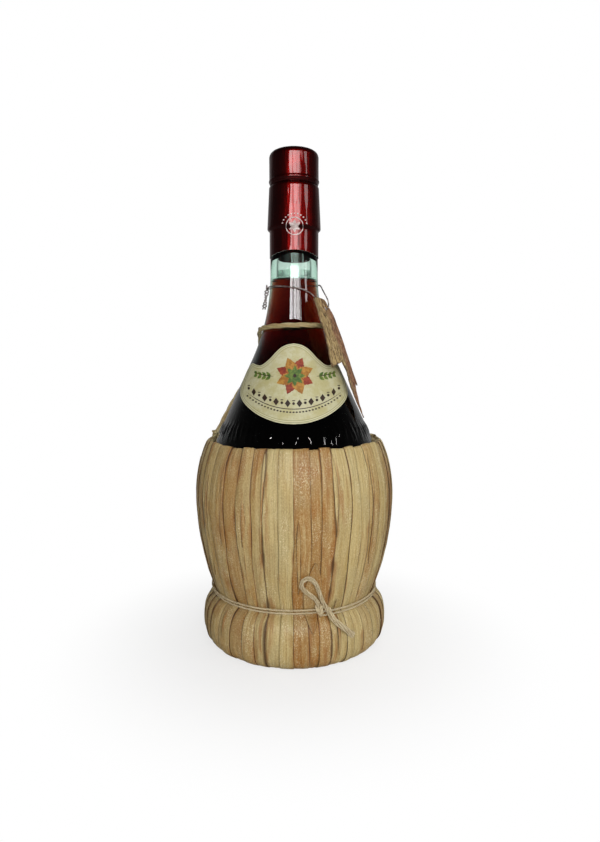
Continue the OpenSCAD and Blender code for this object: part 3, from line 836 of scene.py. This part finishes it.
def strip_tree():
    """One straw strip: a grid laid on the basket's line between two seams that wander."""
    tree, g, given = tree_with(
        "straw_strip",
        ("From", "To", "Left Lift", "Right Lift", "Wander", "Left Seed", "Right Seed", "Seed", "Crown", "Wave",
         "Stain", "Rise", "Tilt", "Left Edge", "Right Edge", "Start", "End", "Taper", "Point"),
        {"Line": "Object", "Columns": "Int", "Rows": "Int", "Material": "Material"})
    grid = g.call("GeometryNodeMeshGrid", {"Size X": 1.0, "Size Y": 1.0, "Vertices X": given["Columns"],
                                           "Vertices Y": given["Rows"]}, "Mesh")
    x, y, _ = g.split(g.call("GeometryNodeInputPosition"))
    u, share = x + 0.5, 0.5 - y
    v = g.blend(share, given["Start"], given["End"])
    arch = g.math("POWER", g.math("SINE", share * math.pi), given["Point"])
    over = 0.5 + (u - 0.5) * g.blend(given["Taper"], 1.0, 0.04 + arch * 0.96)
    line = g.call("GeometryNodeObjectInfo", {"Object": given["Line"]}, "Geometry")
    place, tangent = g.call("GeometryNodeSampleCurve", {"Curves": line, "Factor": v}, ("Position", "Tangent"),
                            mode="FACTOR")
    (place_r, _, place_z), (run_r, _, run_z) = g.split(place), g.split(tangent)

    def seam(base, seed):
        return base + given["Wander"] * (g.noise_line(v * 2.6 + seed * 7.7) - 0.5)

    angle = g.blend(over, seam(given["From"], given["Left Seed"]), seam(given["To"], given["Right Seed"]))
    middle = u * 2.0 - 1.0
    dome = given["Crown"] * (1.0 - middle * middle)
    swell = given["Wave"] * (g.noise(g.xyz(u * 1.7, v * 11.0, given["Seed"] * 5.3), 1.0, 3.0, 0.6, 0.5) - 0.5)
    rib = (g.noise(g.xyz(u * 6.0, v * 2.0, given["Seed"] * 3.1), 1.0) - 0.5) * 0.45 * MM
    calm = g.span(v, 0.86, 0.94, 1.0, 0.15)
    lift = calm * (g.blend(u, given["Left Lift"], given["Right Lift"]) + dome + swell + rib)
    rise = given["Rise"] + given["Tilt"] * (u - 0.5)
    r = place_r - run_z * lift
    z = place_z + run_r * lift + rise * g.span(v, 0.12, 0.02)
    spread = g.xyz(r * g.math("COSINE", angle), r * g.math("SINE", angle), z)
    width = (given["To"] - given["From"]) * BASKET_R

    def edge(reach, side, seed):
        """Distance from one edge, in widths of its dark line, which is partly the straw's brown edge and partly
        painted shade of the gap, and swells and fades on its way down.
        """
        swell = g.noise_line(v * 4.5 + seed * 5.1, 2.0)
        return side * width / (reach * g.span(swell, 0.36, 0.64, 0.3, 1.3))

    brim = g.math("MINIMUM", edge(given["Left Edge"], u, given["Left Seed"]),
                  edge(given["Right Edge"], 1.0 - u, given["Right Seed"]))
    # The stored fields are read from the flat grid, so they are stored before the points move
    flat = g.store(grid, "lie", g.xyz((u - 0.5) * width, v * STRIP_L, given["Seed"]), "FLOAT_VECTOR")
    flat = g.store(g.store(flat, "brim", brim), "stain", given["Stain"])
    g.close(g.call("GeometryNodeSetPosition", {"Geometry": flat, "Position": spread}), given["Material"])
    return tree


def cord_tree():
    """A cord of strands that wind round a path, each strand a tube of its own."""
    tree, g, given = tree_with(
        "laid_cord", ("Strand Diameter", "Spread", "Turns per Metre", "Uneven", "Stain", "Step", "Seed"),
        {"Strands": "Int", "Sides": "Int", "Material": "Material"})
    path = g.call("GeometryNodeMeshToCurve", {"Mesh": given["Geometry"]})
    path = g.call("GeometryNodeResampleCurve", {"Curve": path, "Length": given["Step"]}, mode="LENGTH")
    copies, index = g.call("GeometryNodeDuplicateElements", {"Geometry": path, "Amount": given["Strands"]},
                           (0, "Duplicate Index"), domain="SPLINE")
    length = g.call("GeometryNodeSplineParameter", out="Length")
    normal = g.call("GeometryNodeInputNormal")
    side = g.vector("CROSS_PRODUCT", g.call("GeometryNodeInputTangent"), normal)
    own = index + given["Seed"] * 3.0
    turn = length * given["Turns per Metre"] * TAU + index * TAU / given["Strands"]
    sway = g.noise_line(length * 160.0 + own * 9.1) - 0.5
    reach = given["Spread"] * (1.0 + sway * given["Uneven"])
    away = g.vector("ADD", *[g.vector("MULTIPLY", way, g.xyz(*[reach * g.math(wave, turn)] * 3))
                             for way, wave in ((normal, "COSINE"), (side, "SINE"))])
    wound = g.call("GeometryNodeSetPosition", {"Geometry": copies, "Offset": away})
    wound = g.store(g.store(wound, "along", length * (1 / MM)), "own", own)
    wound = g.call("GeometryNodeSetCurveRadius", {"Curve": wound, "Radius": 1.0 + sway * (given["Uneven"] * 0.5)})
    ring = g.call("GeometryNodeCurvePrimitiveCircle",
                  {"Resolution": given["Sides"], "Radius": given["Strand Diameter"] * 0.5}, mode="RADIUS")
    share = g.call("GeometryNodeSplineParameter", out="Factor")
    ring = g.store(ring, "across", g.math("PINGPONG", share, 0.5) * 6.0)
    tube = g.call("GeometryNodeCurveToMesh", {"Curve": wound, "Profile Curve": ring, "Fill Caps": True})
    lie = g.xyz(*[g.call("GeometryNodeInputNamedAttribute", {"Name": name}, "Attribute", data_type="FLOAT")
                  for name in ("across", "along", "own")])
    tube = g.store(g.store(tube, "lie", lie, "FLOAT_VECTOR"), "brim", 3.0)
    g.close(g.store(tube, "stain", given["Stain"]), given["Material"])
    return tree


def applied(made):
    """The object, with what its modifiers make as its plain mesh."""
    depsgraph = bpy.context.evaluated_depsgraph_get()
    plain = bpy.data.meshes.new_from_object(made.evaluated_get(depsgraph), preserve_all_data_layers=True,
                                            depsgraph=depsgraph)
    made.modifiers.clear()
    made.data = plain
    return made


def thicken(made, thickness, offset):
    skin = made.modifiers.new("skin", "SOLIDIFY")
    skin.thickness, skin.offset = thickness * MM, offset


def grown(name, tree, values, base=None, thickness=0.0):
    """The plain mesh that a tree makes."""
    made = linked(name, base if base is not None else bpy.data.meshes.new(name))
    modifier = made.modifiers.new("made", "NODES")
    modifier.node_group = tree
    sockets = {s.name: s.identifier for s in tree.interface.items_tree
               if s.item_type == "SOCKET" and s.in_out == "INPUT"}
    for key, value in values.items():
        modifier[sockets[key]] = value
    if thickness:
        thicken(made, thickness, -1.0)
    return applied(made)


CORD_TREE = cord_tree()


def cord(name, points, strands, strand_d, spread, lay, material, closed=False, uneven=0.3, stain=0.2, sides=8,
         step=0.8, seed=1.0):
    """A laid cord along points in millimetres. lay is the length of one turn."""
    n = len(points)
    path = bpy.data.meshes.new(name)
    path.from_pydata((np.array(points) * MM).tolist(), [(i, (i + 1) % n) for i in range(n if closed else n - 1)], [])
    return grown(name, CORD_TREE, {
        "Strands": strands, "Strand Diameter": strand_d * MM, "Spread": spread * MM, "Turns per Metre": 1 / (lay * MM),
        "Uneven": uneven, "Stain": stain, "Sides": sides, "Step": step * MM, "Seed": seed, "Material": material}, path)


def trefoil(centre, angle, wide, high):
    """The closed line of a knot round a point, which faces outward at an angle."""
    out, side = np.array(around(angle, 1, 0)), np.array(around(angle + 90, 1, 0))
    return [np.array(centre) + wide * side * (math.sin(t) + 2 * math.sin(2 * t))
            + high * UP * (math.cos(t) - 2 * math.cos(2 * t)) - 0.9 * out * math.sin(3 * t)
            for t in np.linspace(0, TAU, 60, endpoint=False)]


def make_bow():
    """The loop and the long tail are one cord, and the second tail goes with it."""
    route = smooth_path([around(KNOT_AT + a, r + 0.35, z) for a, r, z in BOW_ROUTE], 4)
    made = cord("bow_loop", route, 5, 0.68, 0.82, 24.0, TWINE, uneven=0.4, step=0.5, seed=4.0)
    tail = [(a + 1.1, r + 0.2 + 0.6 * min(1.0, k / 3), z + 0.6) for k, (a, r, z) in enumerate(BOW_ROUTE[14:])]
    tail[-1] = (tail[-1][0] - 0.3, tail[-1][1], tail[-1][2] + 1.0)
    tail = smooth_path([around(KNOT_AT + a, r, z) for a, r, z in tail], 4)
    second = cord("bow_second_tail", tail, 3, 0.7, 0.42, 14.0, TWINE, uneven=0.35, step=0.5, seed=9.0)
    place_piece(made, "root", ["bow_cord"])
    place_piece(second, "root")


make_bow()


# Basket
def bulge(x):
    return math.copysign(abs(x) ** 0.8, x)


def basket_line(o):
    """The basket's outside from rim to foot, moved outward by o."""
    rim_r = float(radius_at(OUTER, RIM_Z)) + HOOP_D + STRIP_T + 0.8
    out = []
    for reach, rise, low, high, steps in ((BASKET_R - rim_r, RIM_Z - BASKET_Z, 1, 0, 16),
                                          (BASKET_R - WAIST_R, BASKET_Z - WAIST_Z, 0, -1, 24)):
        r = (reach * reach + rise * rise) / (2 * reach)
        end = math.asin(rise / r)
        out += [(BASKET_R - r + (r + o) * math.cos(a), BASKET_Z + (r + o) * math.sin(a))
                for a in np.linspace(low * end, high * end, steps)][(1 if out else 0):]
    for a in np.radians(np.arange(62, -83, -4)):
        rise = ROLL_RISE if a > 0 else BASE_Z
        out.append((FOOT_R + (ROLL + o) * bulge(math.cos(a)), BASE_Z + (rise + o) * bulge(math.sin(a))))
    return out + [(FOOT_R, -o), (FOOT_R - FOOT_TUCK, -o)]


def strip_line():
    """The strips' line: up inside the rim, folded over the hoop, then down the outside to the foot."""
    outside = basket_line(-0.3)
    r, z = outside[0]
    fold = [(r - 1.35, z - 5.5), (r - 1.3, z - 2.5), (r - 1.2, z - 0.95), (r - 0.95, z - 0.5), (r - 0.6, z - 0.28),
            (r - 0.25, z - 0.42)]
    smooth = smooth_path(fold + [p for p in outside if p[1] < z - 0.6], 3)
    curve = bpy.data.curves.new("strip_line", "CURVE")
    curve.dimensions = "3D"
    points = curve.splines.new("POLY").points
    points.add(len(smooth) - 1)
    for point, (pr, pz) in zip(points, smooth):
        point.co = (pr * MM, 0.0, pz * MM, 1.0)
    return linked("strip_line", curve)


# How brown a strip is, by its number
STAINS = {1: 0.3, 2: 0.45, 3: 0.75, 4: 0.4, 5: 0.3, 6: 0.0, 7: 0.0, 8: 0.85, 9: 0.8, 10: 0.8, 11: 0.0, 12: 0.0,
          13: 0.05, 14: 0.4, 15: 0.1, 16: 0.3, 36: 0.2, 35: 0.35}
# Width of the dark line along a seam, which is the straw's brown edge with painted shade of the gap, and which strip
# lies over at it, by the seam's place in the list
EDGE_AND_SHADE_WIDTHS = {0: 2.3, 1: 0.2, 2: 0.9, 3: 0.8, 4: 0.4, 5: 2.0, 6: 0.25, 7: 0.6, 8: 0.6, 9: 0.45, 10: 1.9, 11: 0.2,
         12: 0.2, 13: 0.7, 14: 0.45, 15: 0.3, 16: 2.0, 36: 2.3}
OVER = {3: 1, 5: -1, 6: 1, 8: -1, 11: 1, 12: -1}
# Loose slivers on top of the strips: way round from the front, width, start and end along, stain, and how
# blunt the ends are (a larger number is more pointed)
SLIVERS = [(-41.5, 3.4, 0.10, 0.57, 0.3, 0.6), (-16.5, 2.2, 0.06, 0.42, 0.25, 0.6), (-27.0, 2.6, 0.2, 0.58, 0.5, 0.6),
           (-56.0, 3.0, 0.12, 0.56, 0.1, 0.6), (22.5, 2.0, 0.05, 0.36, 0.15, 0.6), (3.0, 2.2, 0.3, 0.58, 0.7, 0.6),
           (48.0, 2.4, 0.08, 0.5, 0.6, 0.6), (-46.0, 2.6, 0.62, 0.86, 0.5, 0.6), (27.0, 2.4, 0.62, 0.84, 0.4, 0.6),
           (84.0, 3.0, 0.1, 0.5, 0.4, 0.6), (118.0, 3.2, 0.15, 0.56, 0.1, 0.6), (156.0, 2.8, 0.08, 0.45, 0.5, 0.6),
           (201.0, 3.2, 0.2, 0.57, 0.3, 0.6), (239.0, 3.0, 0.1, 0.52, 0.2, 0.6), (275.0, 2.6, 0.12, 0.5, 0.5, 0.6),
           (11.5, 12.0, 0.455, 0.75, 0.85, 0.8)]


def make_strips():
    """Thirty-six strips, each with its seams' own wander, one edge over or under the next."""
    tree, line = strip_tree(), strip_line()
    rng = random.Random(5)
    over = [OVER.get(j, rng.choice((-1, 1))) for j in range(len(SEAMS) - 1)]
    over.append(over[0])
    seeds = [rng.uniform(0, 9) for _ in range(len(SEAMS) - 1)]
    seeds.append(seeds[0])
    edges = [EDGE_AND_SHADE_WIDTHS.get(j, rng.uniform(0.25, 0.9)) for j in range(len(SEAMS))]
    whole = {"Line": line, "Start": 0.0, "End": 1.0, "Taper": 0.0, "Point": 0.6, "Columns": 18, "Rows": 170,
             "Material": STRAW}
    for i in range(1, len(SEAMS)):
        left, right = over[i - 1], -over[i]
        slip = [0.35 if side < 0 else 0.12 for side in (left, right)]
        made = grown(f"straw_{i:02d}", tree, {
            **whole, "From": math.radians(SEAMS[i - 1] - 90 - slip[0]), "To": math.radians(SEAMS[i] - 90 + slip[1]),
            "Left Lift": left * 0.28 * MM, "Right Lift": right * 0.28 * MM, "Wander": math.radians(3.2),
            "Left Seed": seeds[i - 1], "Right Seed": seeds[i], "Seed": float(i),
            "Crown": rng.uniform(0.0, 0.35) * MM, "Wave": rng.uniform(0.5, 1.0) * MM,
            "Stain": STAINS.get(i, rng.choice((0.05, 0.1, 0.2, 0.35, 0.5))), "Rise": rng.uniform(-0.7, 0.5) * MM,
            "Tilt": rng.uniform(-0.6, 0.6) * MM, "Left Edge": edges[i - 1], "Right Edge": edges[i]}, thickness=0.45)
        place_piece(made, "root", [f"straw_strip_{i:02d}"])
    for k, (angle, wide, start, end, stain, point) in enumerate(SLIVERS):
        made = grown(f"straw_sliver_{k + 1:02d}", tree, {
            **whole, "From": math.radians(angle - 90 - wide / 2), "To": math.radians(angle - 90 + wide / 2),
            "Left Lift": 0.5 * MM, "Right Lift": 0.34 * MM, "Wander": math.radians(2.4), "Left Seed": k * 1.7,
            "Right Seed": k * 1.7 + 0.05, "Seed": 60.0 + k, "Crown": 0.15 * MM, "Wave": 0.5 * MM, "Stain": stain,
            "Rise": 0.0, "Tilt": 0.0, "Left Edge": 0.6, "Right Edge": 0.6, "Start": start, "End": end,
            "Taper": 1.0, "Point": point, "Columns": 8, "Rows": 90}, thickness=0.3)
        place_piece(made, "root")
    bpy.data.objects.remove(line)


make_strips()


def off_glass(z, gap):
    """Radius of a cord's line that stays a gap off the glass."""
    slope = float(radius_at(OUTER, z - 0.5) - radius_at(OUTER, z + 0.5))
    return float(radius_at(OUTER, z)) + gap * math.sqrt(1 + slope * slope)


def make_hidden_cords():
    """Rim hoop and the two cords round the belly, of twisted straw."""
    for name, node, z, d in (("rim_hoop_cord", "rim_hoop", RIM_Z - HOOP_D, HOOP_D),
                             ("girth_cord_low", "girth_cord_lower", 68, GIRTH_D),
                             ("girth_cord_high", "girth_cord_upper", 98, GIRTH_D)):
        r = off_glass(z, 0.15 + d / 2)
        ring = [(r * math.cos(a), r * math.sin(a), z) for a in np.arange(96) * TAU / 96]
        made = cord(name, ring, 3, d * 0.52, d * 0.22, 4.5 * d, STRAW_CORD, closed=True, sides=6, step=1.2, uneven=0.1)
        place_piece(made, "root", [node])


make_hidden_cords()


def make_base():
    """A bundle of straw round the foot inside the strips, and a coiled mat that closes the bottom."""
    inset = STRIP_T + 0.15
    section = [(FOOT_R + (ROLL - inset) * bulge(math.cos(a)),
                BASE_Z + ((ROLL_RISE if a < math.pi else BASE_Z) - inset) * bulge(math.sin(a)))
               for a in np.linspace(0, TAU, 48, endpoint=False)]
    glass = side_line(NECK_R, BELLY_R, BOTTOM_Z, 0.4)
    clear = []
    for k, (r, z) in enumerate(section):
        least = float(radius_at(glass, z)) if z > BOTTOM_Z else 0.0
        toward = np.array([FOOT_R - r, BASE_Z - z])
        r, z = np.array([r, z]) + toward / np.linalg.norm(toward) * 0.25 * (k % 2)
        clear.append((max(r, least), z))

    def straws(angles, r, z):
        return r - 0.12 * (1 + np.cos(angles * 40 + z[0])), z

    made = lathe("base_straw_roll", clear, STRAW_CORD, 160, closed=True, shape=straws, sharp=0)
    place_piece(made, "root", ["base_ring"])
    turns, pitch = 5.0, 4.4
    spiral = [(pitch * t * math.cos(TAU * t), pitch * t * math.sin(TAU * t), 4.4)
              for t in np.linspace(0.28, turns, 260)]
    made = cord("base_mat", spiral, 3, 2.3, 1.05, 12.0, STRAW_CORD, step=1.2, uneven=0.15)
    place_piece(made, "root", ["base_pad"])


make_base()


def tie_reach(z):
    """Radius at which a thin twine at a height clears the straw."""
    line = basket_line(0)[:-2]
    return max(float(radius_at(line, z + math.sin(a))) + math.cos(a) for a in np.radians(np.arange(-80, 81, 10)))


def make_twine():
    """Twine round the waist, with its knot."""
    turns = [around(KNOT_AT + a, tie_reach(TIE_LOW + TIE_STEP * a / 360) - 0.1, TIE_LOW + TIE_STEP * a / 360)
             for a in range(0, 721, 5)]
    made = cord("waist_twine", turns, 3, 0.52, 0.27, 6.0, TWINE, step=0.6, sides=6)
    centre = around(KNOT_AT - 0.6, tie_reach(TIE_LOW + TIE_STEP) + 1.6, KNOT_Z)
    knot = cord("twine_knot", trefoil(centre, KNOT_AT, 0.68, 0.85), 3, 0.95, 0.5, 8.0, TWINE, closed=True, step=0.4,
                uneven=0.2, seed=3.0)
    place_piece(made, "root", ["waist_tie"])
    place_piece(knot, "root")


make_twine()

# Straw cord from the rim up the shoulder: angle, and share of the way from the rim to the neck's foot
STAY = [(176, 0.032), (175, 0.081), (172, 0.176), (168, 0.279), (162, 0.382), (155, 0.47), (149, 0.54),
        (146, 0.61), (146, 0.68), (149, 0.74), (155, 0.795), (163, 0.84), (172, 0.872), (181, 0.895)]


def make_neck_cord():
    """The cord from the rim once round the neck, and its knot at the rim."""
    points = []
    for angle, share in STAY + [(a, 0.935 - 0.022 * ((a - 300) / 110) ** 2) for a in range(190, 461, 15)]:
        z = RIM_Z + share * (NECK_FOOT_Z - RIM_Z)
        points.append(around(angle, off_glass(z, CORD_D / 2 + 0.1), z))
    made = cord("neck_straw_cord", smooth_path(points, 5), 3, 1.5, 0.68, 26.0, STRAW_CORD, step=0.9, sides=10,
                stain=0.15)
    place_piece(made, "root", ["neck_cord"])
    foot_at, foot_z = STAY[0][0], RIM_Z + 1.6
    loop = trefoil(around(foot_at, off_glass(foot_z, 2.2), foot_z), foot_at, 0.75, 0.75)
    knot = cord("neck_cord_knot", loop, 2, 1.15, 0.5, 9.0, STRAW_CORD, closed=True, step=0.5, stain=0.3)
    place_piece(knot, "root")


make_neck_cord()

# Outline of the tag's card from its hole, across and up
TAG_OUTLINE = [(-14.2, 2.6), (-13.4, 4.6), (-8.4, 6.2), (-3, 6), (1.5, 5.2), (7.2, -3), (9.8, -7.2), (12, -12.6),
               (13.6, -18), (14.8, -27), (13.6, -36), (13.2, -41), (12.6, -45.2), (9.8, -41.4), (8.4, -46),
               (6.8, -53), (4.2, -61), (1.6, -64.4), (0.8, -61), (-0.8, -54), (-3, -47), (-3.4, -38), (-5.2, -31.4),
               (-7.8, -32.6), (-12, -33.2), (-16.4, -34.4), (-15, -28), (-13, -17), (-12.4, -11), (-13.4, -2.4)]


def torn_outline(rng):
    """The tag's outline in short steps that are moved in and out a little."""
    loop = []
    for a, b in zip(TAG_OUTLINE, TAG_OUTLINE[1:] + TAG_OUTLINE[:1]):
        a, b, far = np.array(a), np.array(b), math.dist(a, b)
        side = np.array([b[1] - a[1], a[0] - b[0]]) / far
        steps = max(2, int(far / 0.8))
        for k in range(steps):
            loop.append(a + (b - a) * k / steps + side * (rng.uniform(-0.3, 0.22) if k else 0.0))
    return np.array(loop)


def make_tag():
    """A parchment card, torn, warped and curled, with its hole."""
    loop = torn_outline(random.Random(8))
    hole = [(HOLE_R * math.cos(a), HOLE_R * math.sin(a)) for a in np.arange(16) * TAU / 16]
    work = bmesh.new()
    rings = []
    for ring in (loop, hole):
        verts = [work.verts.new((x, y, 0.0)) for x, y in ring]
        rings += [work.edges.new(pair) for pair in zip(verts, verts[1:] + verts[:1])]
    bmesh.ops.triangle_fill(work, edges=rings, use_beauty=True)
    for _ in range(5):
        inner = [e for e in work.edges if not e.is_boundary]
        if all(e.calc_length() <= 1.3 for e in inner):
            break
        cut_long_edges(work, 1.3, inner)
        bmesh.ops.beautify_fill(work, faces=work.faces, edges=[e for e in work.edges if not e.is_boundary])
    lean = math.radians(TAG_LEAN)
    origin = np.array(around(TAG_AT, TAG_R, TAG_Z))
    across, outward = np.array(around(TAG_AT + 90, 1, 0)), np.array(around(TAG_AT, 1, 0))
    up = UP * math.cos(lean) - outward * math.sin(lean)
    face = outward * math.cos(lean) + UP * math.sin(lean)
    lie, brim = [], []
    for vert in work.verts:
        u, v = vert.co.x, vert.co.y
        far = min(1.0, math.hypot(u, v) / 12)
        warp = far * (0.45 * math.sin(v * 0.16 + 0.6) * math.cos(u * 0.14) + 0.3 * math.sin(u * 0.35 + v * 0.07)
                      + 0.12 * math.sin(u * 1.3 + v * 0.5))
        ridge = 0.17 * (9 - abs(u + 2.5)) * min(1.0, max(0.0, -v / 8))
        curl = far * 0.9 * max(0.0, (abs(u) - 9) / 6) ** 2 * (1 if u < 0 else -0.6)
        lie += [u, v, 1.0]
        brim.append(loop_distance(np.array([u, v]), loop))
        vert.co = Vector((origin + across * u + up * v + face * (warp + ridge + curl - CARD_T / 2)) * MM)
    bmesh.ops.recalc_face_normals(work, faces=work.faces)
    if sum(f.normal.dot(Vector(face)) for f in work.faces) < 0:
        bmesh.ops.reverse_faces(work, faces=work.faces)
    mesh = bpy.data.meshes.new("tag_parchment")
    work.to_mesh(mesh)
    work.free()
    mesh.attributes.new("lie", "FLOAT_VECTOR", "POINT").data.foreach_set("vector", lie)
    mesh.attributes.new("brim", "FLOAT", "POINT").data.foreach_set("value", brim)
    made = linked("tag_parchment", mesh, PARCHMENT)
    thicken(made, CARD_T, 1.0)
    applied(made).data.shade_smooth()
    made.data.set_sharp_from_angle(angle=math.radians(45))
    place_piece(made, "tag", ["tag_card"])


make_tag()

# The tag's wire: angle from the tag, radius, and height above its hole
WIRE_FRONT = [(-141, 15, 12.4), (-128, 14.8, 12.6), (-108, 14.8, 12.4), (-88, 14.8, 11.9), (-71, 14.8, 11.4),
              (-55, 14.8, 10.8), (-40, 14.9, 9.8), (-28.7, 15.1, 8.6)]
WIRE_BIGHT = [(-27, 15.2, 8.4), (-17, 15.7, 6.6), (-9, 16.6, 4.4), (-3.5, 18.1, 1.8), (-1, 19, 0.5), (0, 19.8, 0),
              (0.8, 20.7, 0), (1.6, 21.3, 1.2), (3.5, 21, 3.4), (6, 19.9, 6), (12, 17.7, 9.2), (21, 16, 12)]
WIRE_BACK = [(22.4, 15.9, 12.35), (32, 15.1, 14), (45, 14.9, 14.7), (62, 14.8, 14.5), (87, 14.8, 14.2),
             (117, 14.8, 13.8), (147, 14.8, 13.2), (177, 14.8, 12.8), (197, 15, 12.4)]
TWIST_TOP, TWIST_LOW, TWIST_TURNS, TWIST_R = (-149, 15.5, 11), (-149, 17.2, 0.5), 3.25, 0.95
LIFT_PIVOT = (12.42, -6.98, 202.2)


def from_tag(angle, r, up):
    return around(TAG_AT + angle, r, TAG_Z + up)


def make_wire():
    """One wire from the twist round the neck, through the tag's hole and back, and its two twisted ends."""
    top, low = np.array(TWIST_TOP), np.array(TWIST_LOW)

    def twisted(phase):
        line = []
        for k in np.linspace(0, 1, 31):
            reach = TWIST_R * (0.75 + 0.4 * math.sin(9 * k + 0.6))
            x, y, z = from_tag(*(top * (1 - k) + low * k))
            a = math.radians(phase) + TAU * TWIST_TURNS * k
            line.append((x + reach * math.cos(a), y + reach * math.sin(a), z))
        return line

    turns = [from_tag(*p) for p in WIRE_FRONT + WIRE_BIGHT + WIRE_BACK]
    route = twisted(-60)[::-1] + list(smooth_path(turns, 5)) + twisted(120)
    made = cord("tag_wire", route, 2, 0.46, 0.2, 2.6, STEEL, uneven=0.1, step=0.3, sides=6)
    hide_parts("tag_wire_loop", "tag_wire_bight")
    pivot, hole = np.array(LIFT_PIVOT), np.array(from_tag(0, TAG_R, 0))
    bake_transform(made)


def make_wire_eye():
    """The small open eye where the wire bends down into its twist."""
    middle, along = np.array(from_tag(-139, 15.9, 12.2)), np.array(around(TAG_AT - 139 + 90, 1, 0))
    ring = [middle + 1.45 * (along * math.cos(a) + UP * math.sin(a)) for a in np.arange(32) * TAU / 32]
    made = cord("tag_wire_eye", ring, 1, 0.5, 0.0, 2.6, STEEL, closed=True, step=0.3)
    place_piece(made, "wire")


make_wire()
make_wire_eye()


# Studio
def rays(g):
    """Whether a ray is seen straight or through glass, whether it went through glass, and whether in a mirror."""
    straight, through, mirrored = g.call("ShaderNodeLightPath", out=(
        "Is Camera Ray", "Is Transmission Ray", "Is Glossy Ray"))
    return g.math("MAXIMUM", straight, through), through, mirrored


def make_world():
    """White to the eye, and a dark room with light from the right to anything else."""
    world = bpy.data.worlds.new("studio")
    bpy.context.scene.world = world
    world.use_nodes = True
    g = Graph(world.node_tree)
    seen, through, mirrored = rays(g)
    x, y, z = g.split(g.call("ShaderNodeTexCoord", out="Generated"))
    white = g.blend(through, 1.0, g.span(g.math("ABSOLUTE", x), 0.7, 0.93, 0.84, 0.1))
    room = g.span(z, 0.2, 0.6, 0.035, 0.012) + g.span(y, 0.3, 0.95, 0.0, 0.2)
    soft = g.blend(mirrored, g.span(x, -0.8, 0.6, 0.06, 0.39), room)
    background = g.tree.nodes["Background"].inputs
    background["Color"].default_value = (1.0, 1.0, 1.0, 1.0)
    g.feed(background["Strength"], g.blend(seen, soft, white))


def make_floor():
    """A pale floor that fades into white away from the bottle, and is dark in mirrors."""
    size = 1.6
    mesh = bpy.data.meshes.new("floor")
    mesh.from_pydata([(-size, -size, 0), (size, -size, 0), (size, size, 0), (-size, size, 0)], [], [(0, 1, 2, 3)])
    material, g = finish("floor", Base_Color=(0.95, 0.95, 0.95, 1), Roughness=0.9, Specular_IOR_Level=0.0)
    x, y, _ = g.split(g.place())
    far = g.span(g.math("SQRT", x * x + y * y), 0.05, 0.15, 0.72, 1.0)
    seen, _, mirrored = rays(g)
    glow = g.call("ShaderNodeEmission", {"Color": (1, 1, 1, 1), "Strength": 1.0})
    dim = g.call("ShaderNodeBsdfDiffuse", {"Color": (0.12, 0.12, 0.12, 1)})
    pale = Field(g, g.tree.nodes["Principled BSDF"].outputs[0])
    plain = g.call("ShaderNodeMixShader", {0: mirrored, 1: pale, 2: dim})
    mixed = g.call("ShaderNodeMixShader", {0: seen * far, 1: plain, 2: glow})
    g.feed(g.tree.nodes["Material Output"].inputs["Surface"], mixed)
    linked("floor", mesh, material)


def softbox(name, azimuth, elevation, distance, width, height, radiance, mirrored=True):
    """A flat lamp that faces the bottle. Azimuth 0 is where the camera stands, and 90 is at its right."""
    a, e = math.radians(azimuth), math.radians(elevation)
    way = Vector((math.sin(a) * math.cos(e), -math.cos(a) * math.cos(e), math.sin(e)))
    lamp = bpy.data.lights.new(name, "AREA")
    lamp.shape, lamp.size, lamp.size_y = "RECTANGLE", width, height
    lamp.energy = radiance * math.pi * width * height
    made = linked(name, lamp)
    made.visible_glossy = mirrored
    made.location = Vector((0, 0, 0.17)) + way * distance
    made.rotation_euler = (-way).to_track_quat("-Z", "Y").to_euler()


make_world()
make_floor()
# A window with bars: azimuth, half its width in degrees, and radiance of each pane
WINDOW = ((-13, 5, 8.0), (-3.5, 4.5, 3.4), (5, 4, 7.4), (11.5, 2.5, 3.8), (19, 5, 6.2), (28, 4, 2.2))
for k, (azimuth, half, radiance) in enumerate(WINDOW):
    softbox(f"window_{k + 1}", azimuth, 19, 1.1, 2.2 * math.tan(math.radians(half)), 0.46, radiance)
softbox("window_side", 58, 16, 1.1, 0.2, 0.5, 3.4)
softbox("top", 170, 65, 1.2, 0.9, 0.6, 1.2, mirrored=False)
